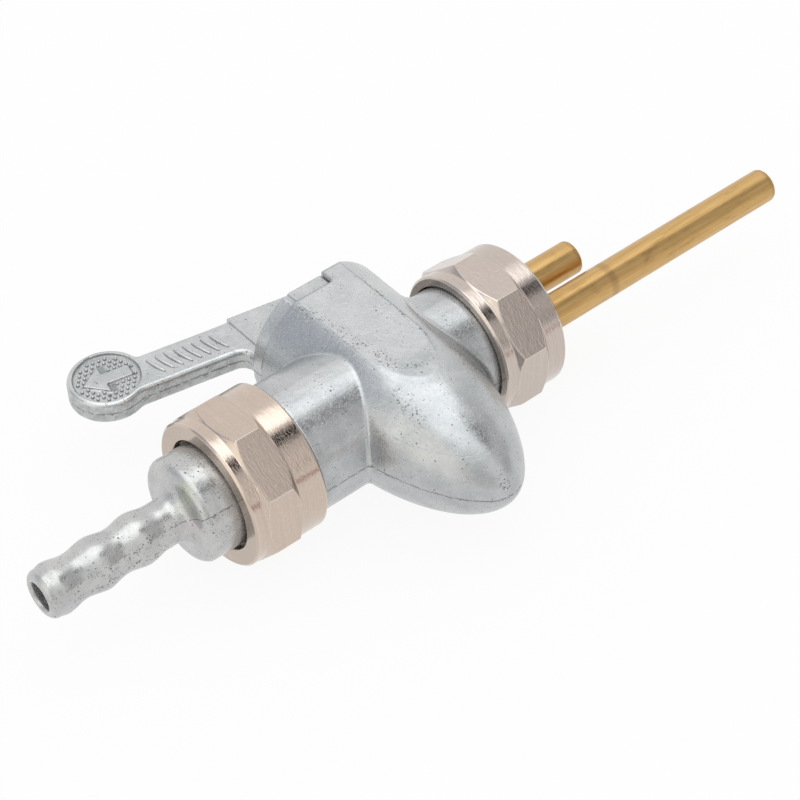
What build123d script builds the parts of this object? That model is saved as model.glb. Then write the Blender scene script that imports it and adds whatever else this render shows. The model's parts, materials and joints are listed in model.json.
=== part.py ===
from build123d import *
from math import cos, hypot, pi, radians, sin, sqrt
import os

# Fuel tap: a plug valve in a die-cast body, lying on its two union nuts.
# Millimetres. The pipe axis runs along X, from the hose (-X) to the tank (+X). The plug axis runs
# along Y, from the blind nose (-Y) to the lever (+Y). Z is up and the casting parts at Z = 0.
# Every piece is built with the crossing of the two axes at the origin. All of them are then moved
# together, so that the origin lies where the tank's stub seats.

# Fits, and how far a cut or a joined form runs past the face that it opens or meets
overshoot = 1.0
slack = 0.02                # a point this near to a surface counts as lying on it
thread_play = 0.04          # radial play between a male and a female thread line
press_gap = 0.02            # radial gap of pieces that are pressed or cast together
run_gap = 0.05              # radial running clearance of the plug and its shaft
side_gap = 0.15             # axial clearance of pieces that turn past each other
stop_gap = 0.30             # radial clearance between the stop lug and the lever's disc

# Union thread, the same on the spigot, on the neck and on the tank's stub
thread_size = 24.0
thread_pitch = 1.0
pitch_line_share = 0.3248    # from the thread's outside to its pitch line, in pitches
undercut = 0.26             # the neck behind its thread is this much slimmer in radius

# Body casting
barrel_radius = 14.4
barrel_length = 16.0        # from the pipe axis to the flat rear end
nose_length = 32.4          # from the pipe axis to the tip of the nose
nose_fullness = 0.507       # reach of the outline's handles, where an ellipse has 0.552
facet_depth = 1.3           # depth of the flat facets on top and underneath
facet_round = 0.5
spigot_reach = 31.1         # end of the outlet spigot
neck_shoulder = 17.9        # where the inlet neck steps up to its thread
neck_reach = 22.1           # end of the inlet neck
neck_fillet = 2.0
spigot_fillet = 0.6
thread_chamfer = 0.6

# Stop lug at the rear rim, angles from straight up towards the tank
lug_wall = 2.8
lug_length = 3.1
lug_round = 0.4
lug_start = 8.6
lug_end = 60.0

# Plug chamber and passages
chamber_radius = 8.5
chamber_depth = 10.5        # from the pipe axis towards the nose
mouth_radius = 9.2          # thread line of the gland ring's seat
mouth_depth = 4.7
pocket_radius = 5.0         # the spring's pocket in the nose
pocket_depth = 8.5
key_width = 2.2
key_depth = 0.5
key_play = 0.1
port_radius = 2.0
tube_seat = 12.0            # from the plug axis to the step that the tubes stand on
outlet_bowl_radius = 7.5
outlet_bowl_depth = 13.0
outlet_port_radius = 2.6

# Standpipes
tube_radius = 3.2
tube_wall = 0.6
seat_turning = 0.2          # the seated end is turned down by this much in radius
seat_turning_past = 0.3     # the turning ends this far past the tank gasket
tube_spread = 4.35          # from the pipe axis to each tube's axis
main_reach = 87.0
reserve_reach = 46.8
tube_chamfer = 0.15

# Gaskets
gasket_thickness = 1.5
gasket_side_gap = 0.35
nozzle_gasket_bore = 5.5
tank_gasket_play = 0.1

# Hose nozzle
flange_thickness = 2.2
flange_side_gap = 0.45
shoulder_radius = 9.5
shoulder_length = 10.8      # from the flange to the front of the shoulder
shoulder_round = 4.0
nozzle_length = 25.1        # from the front of the shoulder to the tip
barb_radius = 4.7
valley_radius = 4.12
barb_pitch = 7.9
barb_count = 3
barb_land = 0.8             # length of the straight crest of each barb
first_barb = 3.2            # from the tip to the first crest
nozzle_bore = 2.55
nozzle_tip_round = 1.1
nozzle_tip_step = 0.02      # the tip's round ends this much inside the valleys
nozzle_tip_slope = 60.0
nozzle_mouth_round = 0.35
nozzle_mouth_chamfer = 0.3
nozzle_root_fillet = 1.3
nozzle_inlet_radius = 6.0
nozzle_inlet_depth = 8.0

# Union nuts
wrench_size = 27.0
nut_side_count = 8
collar_step = 0.30          # the front collar is this much inside the flats, in radius
nut_chamfer = 0.4
nut_clearance = 0.3         # from the outlet nut's rear face to the thicker spigot
outlet_nut_length = 14.4
outlet_nut_wall = 2.5
outlet_nut_hole = 10.1
outlet_nut_corner = 3.4     # from the front face to the full corners
outlet_nut_flat = 4.5       # length of the full corners
outlet_nut_scallop = 1.9    # length over which the corners run out to the front collar
outlet_nut_rear_step = 0.5
outlet_nut_clocking = 27.0
tank_nut_length = 13.4
tank_nut_standback = 6.0    # from the neck's end back to the nut's front face
tank_nut_corner = 3.5
tank_nut_flat = 4.55
tank_nut_scallop = 2.1
tank_nut_rear_step = 0.15
tank_nut_clocking = 18.6
rear_runout = 1.2           # length over which the corners run out to the rear collar

# Rubber sleeve and valve plug
sleeve_wall = 2.25
sleeve_window_radius = 2.0
plug_passage_radius = 1.7
plug_collar_gap = 0.7       # from the chamber wall to the plug's collar
plug_collar_thickness = 1.6
plug_pilot_radius = 3.0
plug_pilot_length = 2.1
shaft_radius = 4.0
shaft_past_disc = 4.4       # from the lever's disc to the shaft's end
shaft_chamfer = 0.4
plug_front = 10.2           # from the pipe axis to the rotor's front

# Spring, washer, gland ring and o-ring
wire_radius = 0.4
spring_turns = 4
spring_side_gap = 0.3
washer_thickness = 1.0
washer_side_gap = 0.1
ring_rear_gap = 0.1
ring_slot_width = 2.0
ring_slot_depth = 1.4
ring_slot_start = 6.25      # from the plug axis to the inner end of each slot
o_ring_section = 0.72
o_ring_groove_gap = 0.08
o_ring_station = 1.9        # from the gland ring's front to the middle of the groove

# Lever
disc_thickness = 2.75
disc_side_gap = 0.6         # the raised part of the disc is this much inside the barrel's radius
raised_start = 243.0        # angles of the raised part, from straight up towards the tank
raised_end = 365.6
arm_thickness = 4.4
arm_width = 8.12
arm_height = 4.48           # from the disc's back to the arm's middle, on the plug axis
arm_slope = 11.1            # the arm leans away from the body by this angle
arm_round = 0.8
leg_reach = 13.1            # from the plug axis to the outer side of the leg
leg_fillet = 2.2
arm_root_depth = 1.5        # the arm and its leg run this far into the disc
wedge_start = 11.2          # where the arm begins to thicken towards the boss
wedge_end = 5.0
wedge_step = 0.45
wedge_rise = 0.55
boss_radius = 6.0
boss_height = 5.8           # from the disc's back to the boss's end
boss_round = 1.2
end_reach = 36.0            # from the plug axis to the middle of the round end, along the arm
end_shift = 1.7             # the round end stands out to the back by this much
end_radius = 6.95
end_back_fillet = 0.9
end_front_fillet = 3.0
dish_radius = 5.9
dish_depth = 0.55
arrow_height = 0.4
arrow_length = 8.8
arrow_head = 3.9
arrow_width = 6.6
arrow_shaft = 2.6
pin_radius = 1.0
pin_chamfer = 0.2
pin_station = 2.4           # from the disc's back to the cross pin

# Derived sizes
thread_line = thread_size / 2 - pitch_line_share * thread_pitch
male_radius = thread_line - thread_play / 2
female_radius = thread_line + thread_play / 2
spigot_radius = thread_size / 2
neck_radius = male_radius - undercut
facet_height = barrel_radius - facet_depth
seat_x = neck_reach + gasket_thickness
outlet_nut_face = spigot_reach + gasket_thickness + flange_thickness + outlet_nut_wall
spigot_shoulder = outlet_nut_face - outlet_nut_length - nut_clearance
corner_radius = wrench_size / 2 / cos(pi / nut_side_count)
collar_radius = wrench_size / 2 - collar_step
rotor_radius = chamber_radius - press_gap - sleeve_wall - run_gap
lug_inner = barrel_radius - lug_wall
disc_front = barrel_length + side_gap
disc_back = disc_front + disc_thickness
arm_axis_y = disc_back + arm_height
ring_front = barrel_length - mouth_depth
washer_front = ring_front - run_gap - washer_thickness
collar_back = washer_front - run_gap
plug_shoulder = collar_back - plug_collar_thickness
shaft_end = disc_back + shaft_past_disc
seated_radius = tube_radius - seat_turning


def rod_x(start, end, radius):
    """A cylinder on the pipe axis between two stations."""
    rod = Cylinder(radius, abs(end - start), align=(Align.CENTER, Align.CENTER, Align.MIN))
    return Pos(min(start, end), 0, 0) * Rot(0, 90, 0) * rod


def rod_y(start, end, radius):
    """A cylinder on the plug axis between two stations."""
    rod = Cylinder(radius, abs(end - start), align=(Align.CENTER, Align.CENTER, Align.MIN))
    return Pos(0, min(start, end), 0) * Rot(-90, 0, 0) * rod


def rod_between(start, end, radius):
    """A cylinder from one point to another."""
    line = Edge.make_line(start, end)
    return sweep(Plane(line @ 0, z_dir=line % 0) * Circle(radius), path=line)


def turned_x(points):
    """A solid of revolution about the pipe axis, from points of (x, radius)."""
    return revolve(make_face(Polyline(*points, close=True)), Axis.X)


def turned_y(points):
    """A solid of revolution about the plug axis, from points of (radius, y)."""
    return revolve(make_face(Polyline(*points, close=True)), Axis.Y)


def ring_sector(inner, outer, front, back, start, end):
    """A sector of a ring about the plug axis, with its angles from straight up towards the tank."""
    section = make_face(Polyline((inner, front), (outer, front), (outer, back), (inner, back), close=True))
    return Rot(0, start - 90, 0) * revolve(section, Axis.Y, revolution_arc=end - start)


def barrel():
    """The nose and barrel: a slim half ellipsoid that runs into a cylinder, with two flat facets."""
    tip = (0, -nose_length)
    tip_handle = (nose_fullness * barrel_radius, -nose_length)
    side_handle = (barrel_radius, -nose_fullness * nose_length)
    nose = Bezier(tip, tip_handle, side_handle, (barrel_radius, 0))
    side = Line((barrel_radius, 0), (barrel_radius, barrel_length))
    rear = Line((barrel_radius, barrel_length), (0, barrel_length))
    axis = Line((0, barrel_length), tip)
    form = revolve(make_face([nose, side, rear, axis]), Axis.Y)
    form = form & Box(4 * barrel_radius, 4 * nose_length, 2 * facet_height)
    creases = [e for e in form.edges() if abs(abs(e.center().Z) - facet_height) < slack]
    creases = [e for e in creases if e.center().Y < barrel_length - facet_round]
    return fillet(creases, facet_round)


def stop_lug():
    """The raised part of the rear rim that limits the lever."""
    back = barrel_length + lug_length
    lug = ring_sector(lug_inner, barrel_radius, barrel_length - overshoot, back, lug_start, lug_end)
    lug = lug & Box(4 * barrel_radius, 4 * nose_length, 2 * facet_height)
    return fillet(lug.faces().sort_by(Axis.Y)[-1].edges(), lug_round)


def near_edges(solid, sign, radius, reach):
    """The edges where a spigot of this radius leaves the barrel, on one side of the plug axis."""
    found = []
    for edge in solid.edges():
        points = [edge @ t for t in (0.1, 0.5, 0.9)]
        on_spigot = all(abs(hypot(p.Y, p.Z) - radius) < slack for p in points)
        if on_spigot and all(0 < sign * p.X < reach for p in points):
            found.append(edge)
    return found


def plug_chamber():
    """What the body's rear bore, passages and tube seats take away."""
    space = rod_y(-chamber_depth, barrel_length + overshoot, chamber_radius)
    space += rod_y(ring_front, barrel_length + overshoot, mouth_radius)
    space += rod_y(-chamber_depth - pocket_depth, -chamber_depth + overshoot, pocket_radius)
    key_long = ring_front + chamber_depth
    key = Box(key_width, key_long, chamber_radius, align=(Align.CENTER, Align.MIN, Align.MAX))
    key = Pos(0, -chamber_depth, 0) * key
    space += key & rod_y(-chamber_depth, ring_front, chamber_radius + key_depth)
    for offset in (-tube_spread, tube_spread):
        space += Pos(0, offset, 0) * rod_x(0, tube_seat + overshoot, port_radius)
        space += Pos(0, offset, 0) * rod_x(tube_seat, neck_reach + overshoot, seated_radius + press_gap)
    bowl_end = spigot_reach - outlet_bowl_depth
    space += rod_x(0, -bowl_end - overshoot, outlet_port_radius)
    space += turned_x(
        [
            (-spigot_reach - overshoot, 0),
            (-spigot_reach - overshoot, outlet_bowl_radius),
            (-bowl_end - (outlet_bowl_radius - outlet_port_radius), outlet_bowl_radius),
            (-bowl_end, outlet_port_radius),
            (-bowl_end, 0),
        ]
    )
    return space


def tap_body():
    """The die-cast body with its spigot, neck, stop lug and inner spaces."""
    form = barrel() + rod_x(0, -spigot_shoulder, spigot_radius) + rod_x(0, neck_shoulder, neck_radius)
    form = fillet(near_edges(form, 1, neck_radius, barrel_radius + overshoot), neck_fillet)
    form = fillet(near_edges(form, -1, spigot_radius, barrel_radius + overshoot), spigot_fillet)
    male_spigot = rod_x(-spigot_shoulder + overshoot, -spigot_reach, male_radius)
    male_neck = rod_x(neck_shoulder, neck_reach, male_radius)
    ends = male_spigot.edges().filter_by(GeomType.CIRCLE).sort_by(Axis.X)
    form += chamfer(ends[0], thread_chamfer)
    ends = male_neck.edges().filter_by(GeomType.CIRCLE).sort_by(Axis.X)
    form += chamfer(ends[-1], thread_chamfer)
    form += stop_lug()
    return form - plug_chamber()


def standpipe(offset, reach):
    """A brass tube whose turned-down end stands on the step in its seat in the neck."""
    bore = tube_radius - tube_wall
    shoulder = seat_x + seat_turning_past
    tube = turned_x(
        [
            (tube_seat, bore),
            (tube_seat, seated_radius - tube_chamfer),
            (tube_seat + tube_chamfer, seated_radius),
            (shoulder, seated_radius),
            (shoulder, tube_radius),
            (reach - tube_chamfer, tube_radius),
            (reach, tube_radius - tube_chamfer),
            (reach, bore),
        ]
    )
    return Pos(0, offset, 0) * tube


def tank_gasket():
    """The fibre disc on the neck's end, with a hole for each tube."""
    disc = rod_x(neck_reach, seat_x, female_radius - gasket_side_gap)
    for offset in (-tube_spread, tube_spread):
        hole = rod_x(neck_reach - overshoot, seat_x + overshoot, seated_radius + tank_gasket_play)
        disc -= Pos(0, offset, 0) * hole
    return disc


def nozzle_gasket():
    """The fibre ring between the nozzle and the spigot."""
    outer = rod_x(-spigot_reach, -spigot_reach - gasket_thickness, female_radius - gasket_side_gap)
    back = -spigot_reach + overshoot
    return outer - rod_x(back, back - gasket_thickness - 2 * overshoot, nozzle_gasket_bore)


def barb_outline(tip, root):
    """The upper outline of the barbs from the tip to the shoulder: straight crests joined by waves."""
    crests = [tip + first_barb + k * barb_pitch for k in range(barb_count)]
    parts = []
    front = (crests[0] - barb_land / 2, barb_radius)
    tip_slope = (cos(radians(nozzle_tip_slope)), sin(radians(nozzle_tip_slope)))
    tip_top = (tip + nozzle_tip_round, valley_radius - nozzle_tip_step)
    parts.append(Spline(tip_top, front, tangents=[tip_slope, (1, 0)]))
    for k in range(barb_count):
        land_start = (crests[k] - barb_land / 2, barb_radius)
        land_end = (crests[k] + barb_land / 2, barb_radius)
        parts.append(Line(land_start, land_end))
        low = (crests[k] + barb_pitch / 2, valley_radius)
        parts.append(Spline(land_end, low, tangents=[(1, 0), (1, 0)]))
        if k < barb_count - 1:
            high = (crests[k + 1] - barb_land / 2, barb_radius)
            parts.append(Spline(low, high, tangents=[(1, 0), (1, 0)]))
    last = (crests[-1] + barb_pitch / 2, valley_radius)
    parts.append(Line(last, (root, valley_radius)))
    return parts, tip_top, tip_slope


def hose_nozzle():
    """The hose nozzle: barbs, rounded shoulder and the flange that the outlet nut holds."""
    flange_back = -spigot_reach - gasket_thickness
    flange_front = flange_back - flange_thickness
    face = flange_front - shoulder_length
    tip = face - nozzle_length
    flange_radius = female_radius - flange_side_gap
    parts, tip_top, tip_slope = barb_outline(tip, face - nozzle_root_fillet)
    round_start = (face - nozzle_root_fillet, valley_radius)
    round_end = (face, valley_radius + nozzle_root_fillet)
    parts.append(TangentArc(round_start, round_end, tangent=(1, 0)))
    shoulder_start = (face, shoulder_radius - shoulder_round)
    shoulder_end = (face + shoulder_round, shoulder_radius)
    parts.append(Line(round_end, shoulder_start))
    parts.append(TangentArc(shoulder_start, shoulder_end, tangent=(0, 1)))
    rest = [
        shoulder_end,
        (flange_front, shoulder_radius),
        (flange_front, flange_radius),
        (flange_back, flange_radius),
        (flange_back, 0),
        (tip, 0),
        (tip, nozzle_bore + nozzle_mouth_round),
    ]
    parts.append(Polyline(*rest))
    parts.append(Spline(rest[-1], tip_top, tangents=[(0, 1), tip_slope]))
    form = revolve(make_face(parts), Axis.X)
    inlet = turned_x(
        [
            (flange_back + overshoot, 0),
            (flange_back + overshoot, nozzle_inlet_radius),
            (flange_back, nozzle_inlet_radius),
            (flange_back - nozzle_inlet_depth, nozzle_bore),
            (flange_back - nozzle_inlet_depth, 0),
        ]
    )
    mouth_end = tip + nozzle_mouth_chamfer
    mouth_rim = nozzle_bore + nozzle_mouth_chamfer
    mouth = turned_x([(tip, 0), (tip, mouth_rim), (mouth_end, nozzle_bore), (mouth_end, 0)])
    return form - rod_x(flange_back + overshoot, tip - overshoot, nozzle_bore) - inlet - mouth


def nut_blank(length, corner, flat, scallop, rear_radius, clocking):
    """An eight-sided nut between two round collars, from its front face at X = 0 towards +X."""
    flat_end = corner + flat
    profile = [
        (corner - scallop, 0),
        (corner - scallop, collar_radius),
        (corner, corner_radius),
        (flat_end, corner_radius),
        (flat_end + rear_runout, rear_radius),
        (flat_end + rear_runout, 0),
    ]
    outline = RegularPolygon(corner_radius, nut_side_count, rotation=-clocking)
    prism = extrude(Plane.YZ * outline, amount=length)
    hexed = prism & turned_x(profile)
    front = chamfer(rod_x(0, corner, collar_radius).edges().sort_by(Axis.X)[0], nut_chamfer)
    rear = chamfer(rod_x(flat_end, length, rear_radius).edges().sort_by(Axis.X)[-1], nut_chamfer)
    return hexed + front + rear


def outlet_union_nut():
    """The nut that holds the nozzle's flange on the spigot."""
    rear_radius = wrench_size / 2 - outlet_nut_rear_step
    nut = nut_blank(
        outlet_nut_length,
        outlet_nut_corner,
        outlet_nut_flat,
        outlet_nut_scallop,
        rear_radius,
        outlet_nut_clocking,
    )
    nut -= rod_x(-overshoot, outlet_nut_length, outlet_nut_hole)
    nut -= rod_x(outlet_nut_wall, outlet_nut_length + overshoot, female_radius)
    nut -= turned_x(
        [
            (outlet_nut_length - thread_chamfer, 0),
            (outlet_nut_length - thread_chamfer, female_radius),
            (outlet_nut_length + overshoot, female_radius + thread_chamfer + overshoot),
            (outlet_nut_length + overshoot, 0),
        ]
    )
    return Pos(-outlet_nut_face, 0, 0) * nut


def tank_union_nut():
    """The nut that draws the neck and the tank's stub together, threaded right through."""
    rear_radius = wrench_size / 2 - tank_nut_rear_step
    nut = nut_blank(
        tank_nut_length,
        tank_nut_corner,
        tank_nut_flat,
        tank_nut_scallop,
        rear_radius,
        tank_nut_clocking,
    )
    nut -= rod_x(-overshoot, tank_nut_length + overshoot, female_radius)
    nut -= turned_x(
        [
            (tank_nut_length - thread_chamfer, 0),
            (tank_nut_length - thread_chamfer, female_radius),
            (tank_nut_length + overshoot, female_radius + thread_chamfer + overshoot),
            (tank_nut_length + overshoot, 0),
        ]
    )
    return Pos(neck_reach - tank_nut_standback, 0, 0) * nut


def plug_sleeve():
    """The rubber sleeve round the rotor: two windows towards the tubes and one towards the outlet."""
    outer_radius = chamber_radius - press_gap
    front = -chamber_depth + press_gap
    back = plug_shoulder - side_gap
    sleeve = rod_y(front, back, outer_radius)
    rib_width = key_width - 2 * key_play
    rib = Box(rib_width, back - front, chamber_radius, align=(Align.CENTER, Align.MIN, Align.MAX))
    rib = Pos(0, front, 0) * rib
    sleeve += rib & rod_y(front, back, chamber_radius + key_depth - key_play)
    sleeve -= rod_y(front - overshoot, back + overshoot, rotor_radius + run_gap)
    for offset in (-tube_spread, tube_spread):
        sleeve -= Pos(0, offset, 0) * rod_x(0, chamber_radius + overshoot, sleeve_window_radius)
    return sleeve - rod_x(0, -chamber_radius - overshoot, sleeve_window_radius)


def valve_plug():
    """The rotor: slanting passages that join the outlet to one tube or, half a turn on, to the other."""
    collar_radius_y = chamber_radius - plug_collar_gap
    rotor = turned_y(
        [
            (0, -plug_front - plug_pilot_length),
            (plug_pilot_radius, -plug_front - plug_pilot_length),
            (plug_pilot_radius, -plug_front),
            (rotor_radius, -plug_front),
            (rotor_radius, plug_shoulder),
            (collar_radius_y, plug_shoulder),
            (collar_radius_y, collar_back),
            (shaft_radius, collar_back),
            (shaft_radius, shaft_end - shaft_chamfer),
            (shaft_radius - shaft_chamfer, shaft_end),
            (0, shaft_end),
        ]
    )
    out = rotor_radius + overshoot
    rise = tube_spread / (2 * rotor_radius) * (out - rotor_radius)
    rotor -= rod_between((out, -tube_spread - rise, 0), (-out, rise, 0), plug_passage_radius)
    rotor -= rod_between((-out, tube_spread + rise, 0), (out, -rise, 0), plug_passage_radius)
    return rotor - lever_pin_hole(press_gap)


def lever_pin_hole(gap):
    """The cross hole through the boss and the shaft."""
    hole = Cylinder(pin_radius + gap, 4 * boss_radius)
    return Pos(0, disc_back + pin_station, 0) * hole


def lever_pin():
    """The cross pin, flush with the boss's flats."""
    pin = Cylinder(pin_radius, 2 * (boss_radius - pin_chamfer))
    pin = chamfer(pin.edges().filter_by(GeomType.CIRCLE), pin_chamfer)
    return Pos(0, disc_back + pin_station, 0) * pin


def plug_spring():
    """The coil spring in the nose pocket, between the pocket's floor and the rotor."""
    bottom = -chamber_depth - pocket_depth + wire_radius + press_gap
    top = -plug_front - wire_radius - press_gap
    coil_radius = pocket_radius - spring_side_gap - wire_radius
    coil = Helix(pitch=(top - bottom) / spring_turns, height=top - bottom, radius=coil_radius)
    wire = sweep(Plane(coil @ 0, z_dir=coil % 0) * Circle(wire_radius), path=coil, is_frenet=True)
    return Pos(0, bottom, 0) * Rot(-90, 0, 0) * wire


def thrust_washer():
    """The flat washer between the rotor's collar and the gland ring."""
    back = washer_front + washer_thickness
    washer = rod_y(washer_front, back, chamber_radius - washer_side_gap)
    return washer - rod_y(washer_front - overshoot, back + overshoot, shaft_radius + 2 * run_gap)


def gland_ring():
    """The screwed ring that closes the chamber, with a groove for the o-ring and two slots."""
    back = barrel_length - ring_rear_gap
    ring = rod_y(ring_front + press_gap, back, mouth_radius - press_gap)
    ring -= rod_y(ring_front - overshoot, back + overshoot, shaft_radius + 2 * run_gap)
    middle = ring_front + o_ring_station
    half = o_ring_section + o_ring_groove_gap
    groove_radius = shaft_radius + run_gap + 2 * o_ring_section + o_ring_groove_gap
    ring -= rod_y(middle - half, middle + half, groove_radius)
    slot = Box(4 * mouth_radius, ring_slot_depth, ring_slot_width)
    slot -= rod_y(-ring_slot_depth, ring_slot_depth, ring_slot_start)
    return ring - Pos(0, back, 0) * slot


def shaft_o_ring():
    """The o-ring in the gland ring's groove."""
    ring = Torus(shaft_radius + run_gap + o_ring_section, o_ring_section)
    return Pos(0, ring_front + o_ring_station, 0) * Rot(90, 0, 0) * ring


def arm_point(along, across):
    """A point in the arm's plane, measured from the plug axis along the arm and across it."""
    slope = radians(arm_slope)
    x = -along * cos(slope) + across * sin(slope)
    y = arm_axis_y + along * sin(slope) + across * cos(slope)
    return (x, y)


def arm_outline():
    """The arm's outline: leg, sloping arm and round end, with its inner corners rounded."""
    slope = radians(arm_slope)
    half = arm_width / 2
    root = disc_back - arm_root_depth
    corner = arm_point((leg_reach - half * sin(slope)) / cos(slope), -half)
    far_back = arm_point((half * sin(slope) - boss_radius) / cos(slope), half)
    points = [
        (-leg_reach, root),
        corner,
        arm_point(end_reach, -half),
        arm_point(end_reach, half),
        far_back,
        (boss_radius, root),
    ]
    outline = make_face(Polyline(*points, close=True))
    middle = arm_point(end_reach, end_shift)
    outline = outline + Pos(*middle) * Circle(end_radius)
    reach_back = end_reach - sqrt(end_radius**2 - (half - end_shift) ** 2)
    reach_front = end_reach - sqrt(end_radius**2 - (half + end_shift) ** 2)
    rounds = [
        (corner, leg_fillet),
        (arm_point(reach_back, half), end_back_fillet),
        (arm_point(reach_front, -half), end_front_fillet),
    ]
    for place, radius in rounds:
        vertex = outline.vertices().sort_by_distance((place[0], place[1], 0))[0]
        outline = fillet(vertex, radius)
    return outline


def lever_arm():
    """The flat arm with rounded edges."""
    arm = extrude(arm_outline(), amount=arm_thickness / 2, both=True)
    edges = [e for e in arm.edges() if abs(abs((e @ 0.5).Z) - arm_thickness / 2) < slack]
    return fillet(edges, arm_round)


def lever_wedge():
    """The part of the arm that thickens towards the boss."""
    low = arm_thickness / 2 + wedge_step
    high = arm_thickness / 2 + wedge_rise
    start, end = -wedge_start, -wedge_end
    points = [(start, -low), (start, low), (end, high), (0, high), (0, -high), (end, -high)]
    section = Plane.XZ * make_face(Polyline(*points, close=True))
    wedge = extrude(section, amount=4 * nose_length, both=True)
    return wedge & extrude(arm_outline(), amount=2 * boss_radius, both=True)


def round_end_dish(side):
    """The dish in one face of the round end, around a raised arrow that points along the arm."""
    floor = arm_thickness / 2 - dish_depth
    dish_height = dish_depth + overshoot
    dish = Cylinder(dish_radius, dish_height, align=(Align.CENTER, Align.CENTER, Align.MIN))
    dish = Pos(0, 0, floor) * dish
    neck = arrow_length / 2 - arrow_head
    points = [
        (-arrow_length / 2, 0),
        (-neck, arrow_width / 2),
        (-neck, arrow_shaft / 2),
        (arrow_length / 2, arrow_shaft / 2),
        (arrow_length / 2, -arrow_shaft / 2),
        (-neck, -arrow_shaft / 2),
        (-neck, -arrow_width / 2),
    ]
    arrow = extrude(make_face(Polyline(*points, close=True)), amount=arrow_height)
    dish -= Pos(0, 0, floor) * arrow
    place = arm_point(end_reach, end_shift)
    turn = 0 if side > 0 else 180
    return Pos(*place) * Rot(0, 0, -arm_slope) * Rot(turn, 0, 0) * dish


def lever():
    """The lever: a disc with a raised part for the stop, a boss on the shaft and the arm."""
    disc = rod_y(disc_front, disc_back, lug_inner - stop_gap)
    raised_radius = barrel_radius - disc_side_gap
    raised = ring_sector(disc_thickness, raised_radius, disc_front, disc_back, raised_start, raised_end)
    disc += raised & Box(4 * barrel_radius, 4 * nose_length, 2 * (facet_height - disc_side_gap))
    boss = rod_y(disc_front, disc_back + boss_height, boss_radius)
    boss = fillet(boss.edges().sort_by(Axis.Y)[-1], boss_round)
    form = disc + lever_arm() + lever_wedge() + boss
    form -= rod_y(disc_front - overshoot, shaft_end + stop_gap, shaft_radius + press_gap)
    form -= lever_pin_hole(press_gap)
    return form - round_end_dish(1) - round_end_dish(-1)


pieces = {
    "tap_body": tap_body(),
    "main_standpipe": standpipe(-tube_spread, main_reach),
    "reserve_standpipe": standpipe(tube_spread, reserve_reach),
    "tank_gasket": tank_gasket(),
    "nozzle_gasket": nozzle_gasket(),
    "hose_nozzle": hose_nozzle(),
    "outlet_union_nut": outlet_union_nut(),
    "tank_union_nut": tank_union_nut(),
    "plug_sleeve": plug_sleeve(),
    "valve_plug": valve_plug(),
    "lever_pin": lever_pin(),
    "plug_spring": plug_spring(),
    "thrust_washer": thrust_washer(),
    "gland_ring": gland_ring(),
    "shaft_o_ring": shaft_o_ring(),
    "lever": lever(),
}

os.makedirs("parts", exist_ok=True)
for name, piece in pieces.items():
    export_step(Pos(-seat_x, 0, 0) * piece, f"parts/{name}.step")
    print(name, round(piece.volume, 1))
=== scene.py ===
# %% [markdown]
# # A plug-type fuel tap in Blender
#
# The tap is a zinc die casting with a turning plug inside, a lever behind it, a union nut on each
# side, a hose nozzle and two brass standpipes. The construction is loaded as a fixed frame, in
# metres, with the pipe axis along X, the plug axis along Y and Z up. This lesson dresses that
# frame: it builds finer surfaces where the frame is plain, and gives every piece its finish.

# %% Load the frame
import json

import bmesh
import bpy
import numpy as np
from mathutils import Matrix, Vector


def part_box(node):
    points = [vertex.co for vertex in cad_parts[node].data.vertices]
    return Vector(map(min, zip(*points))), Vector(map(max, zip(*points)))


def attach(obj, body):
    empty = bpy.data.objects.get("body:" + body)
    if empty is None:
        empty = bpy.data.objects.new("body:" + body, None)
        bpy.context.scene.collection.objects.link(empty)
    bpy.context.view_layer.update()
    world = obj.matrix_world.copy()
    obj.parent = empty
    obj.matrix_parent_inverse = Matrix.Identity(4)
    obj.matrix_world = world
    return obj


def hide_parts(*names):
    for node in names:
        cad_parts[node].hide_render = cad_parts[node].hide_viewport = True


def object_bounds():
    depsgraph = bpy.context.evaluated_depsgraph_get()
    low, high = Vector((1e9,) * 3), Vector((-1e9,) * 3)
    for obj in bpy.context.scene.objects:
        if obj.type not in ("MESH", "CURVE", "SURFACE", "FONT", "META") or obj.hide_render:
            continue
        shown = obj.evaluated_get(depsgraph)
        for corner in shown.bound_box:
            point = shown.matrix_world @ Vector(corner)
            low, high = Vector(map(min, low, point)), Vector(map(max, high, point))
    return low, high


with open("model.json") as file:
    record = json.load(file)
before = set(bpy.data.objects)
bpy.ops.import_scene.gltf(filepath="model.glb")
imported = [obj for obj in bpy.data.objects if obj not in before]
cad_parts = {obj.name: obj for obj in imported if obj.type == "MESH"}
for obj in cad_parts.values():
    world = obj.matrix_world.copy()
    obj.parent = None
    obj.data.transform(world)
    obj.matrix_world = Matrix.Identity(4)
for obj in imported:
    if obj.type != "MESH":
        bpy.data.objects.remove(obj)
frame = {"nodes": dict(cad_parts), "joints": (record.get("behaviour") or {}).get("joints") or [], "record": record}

MM = 0.001
nodes = frame["nodes"]
frame_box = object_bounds()
joints = {joint["name"]: joint for joint in frame["joints"]}
PLUG_X = joints["lever_turn"]["pos_m"][0]  # where the plug axis crosses the pipe axis


def edge_x(node, side):
    """Where a node starts (0) or ends (1) along the pipe axis, in mm from the plug axis."""
    return (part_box(node)[side][0] - PLUG_X) / MM


def to_frame(points_mm):
    """Points in mm from the plug axis as points of the frame, in metres."""
    return points_mm * MM + np.array([PLUG_X, 0.0, 0.0])


def new_object(name, data):
    """An object in the scene."""
    made = bpy.data.objects.new(name, data)
    bpy.context.scene.collection.objects.link(made)
    return made


def placed(x_axis, y_axis, z_axis, place):
    """The matrix of an object with these axes at this place, as Blender wants it, column by column."""
    turn = np.eye(4)
    turn[0, :3], turn[1, :3], turn[2, :3], turn[3, :3] = x_axis, y_axis, z_axis, place
    return turn


print("frame box", [[round(c, 4) for c in corner] for corner in frame_box])
print("nodes", sorted(nodes))

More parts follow.
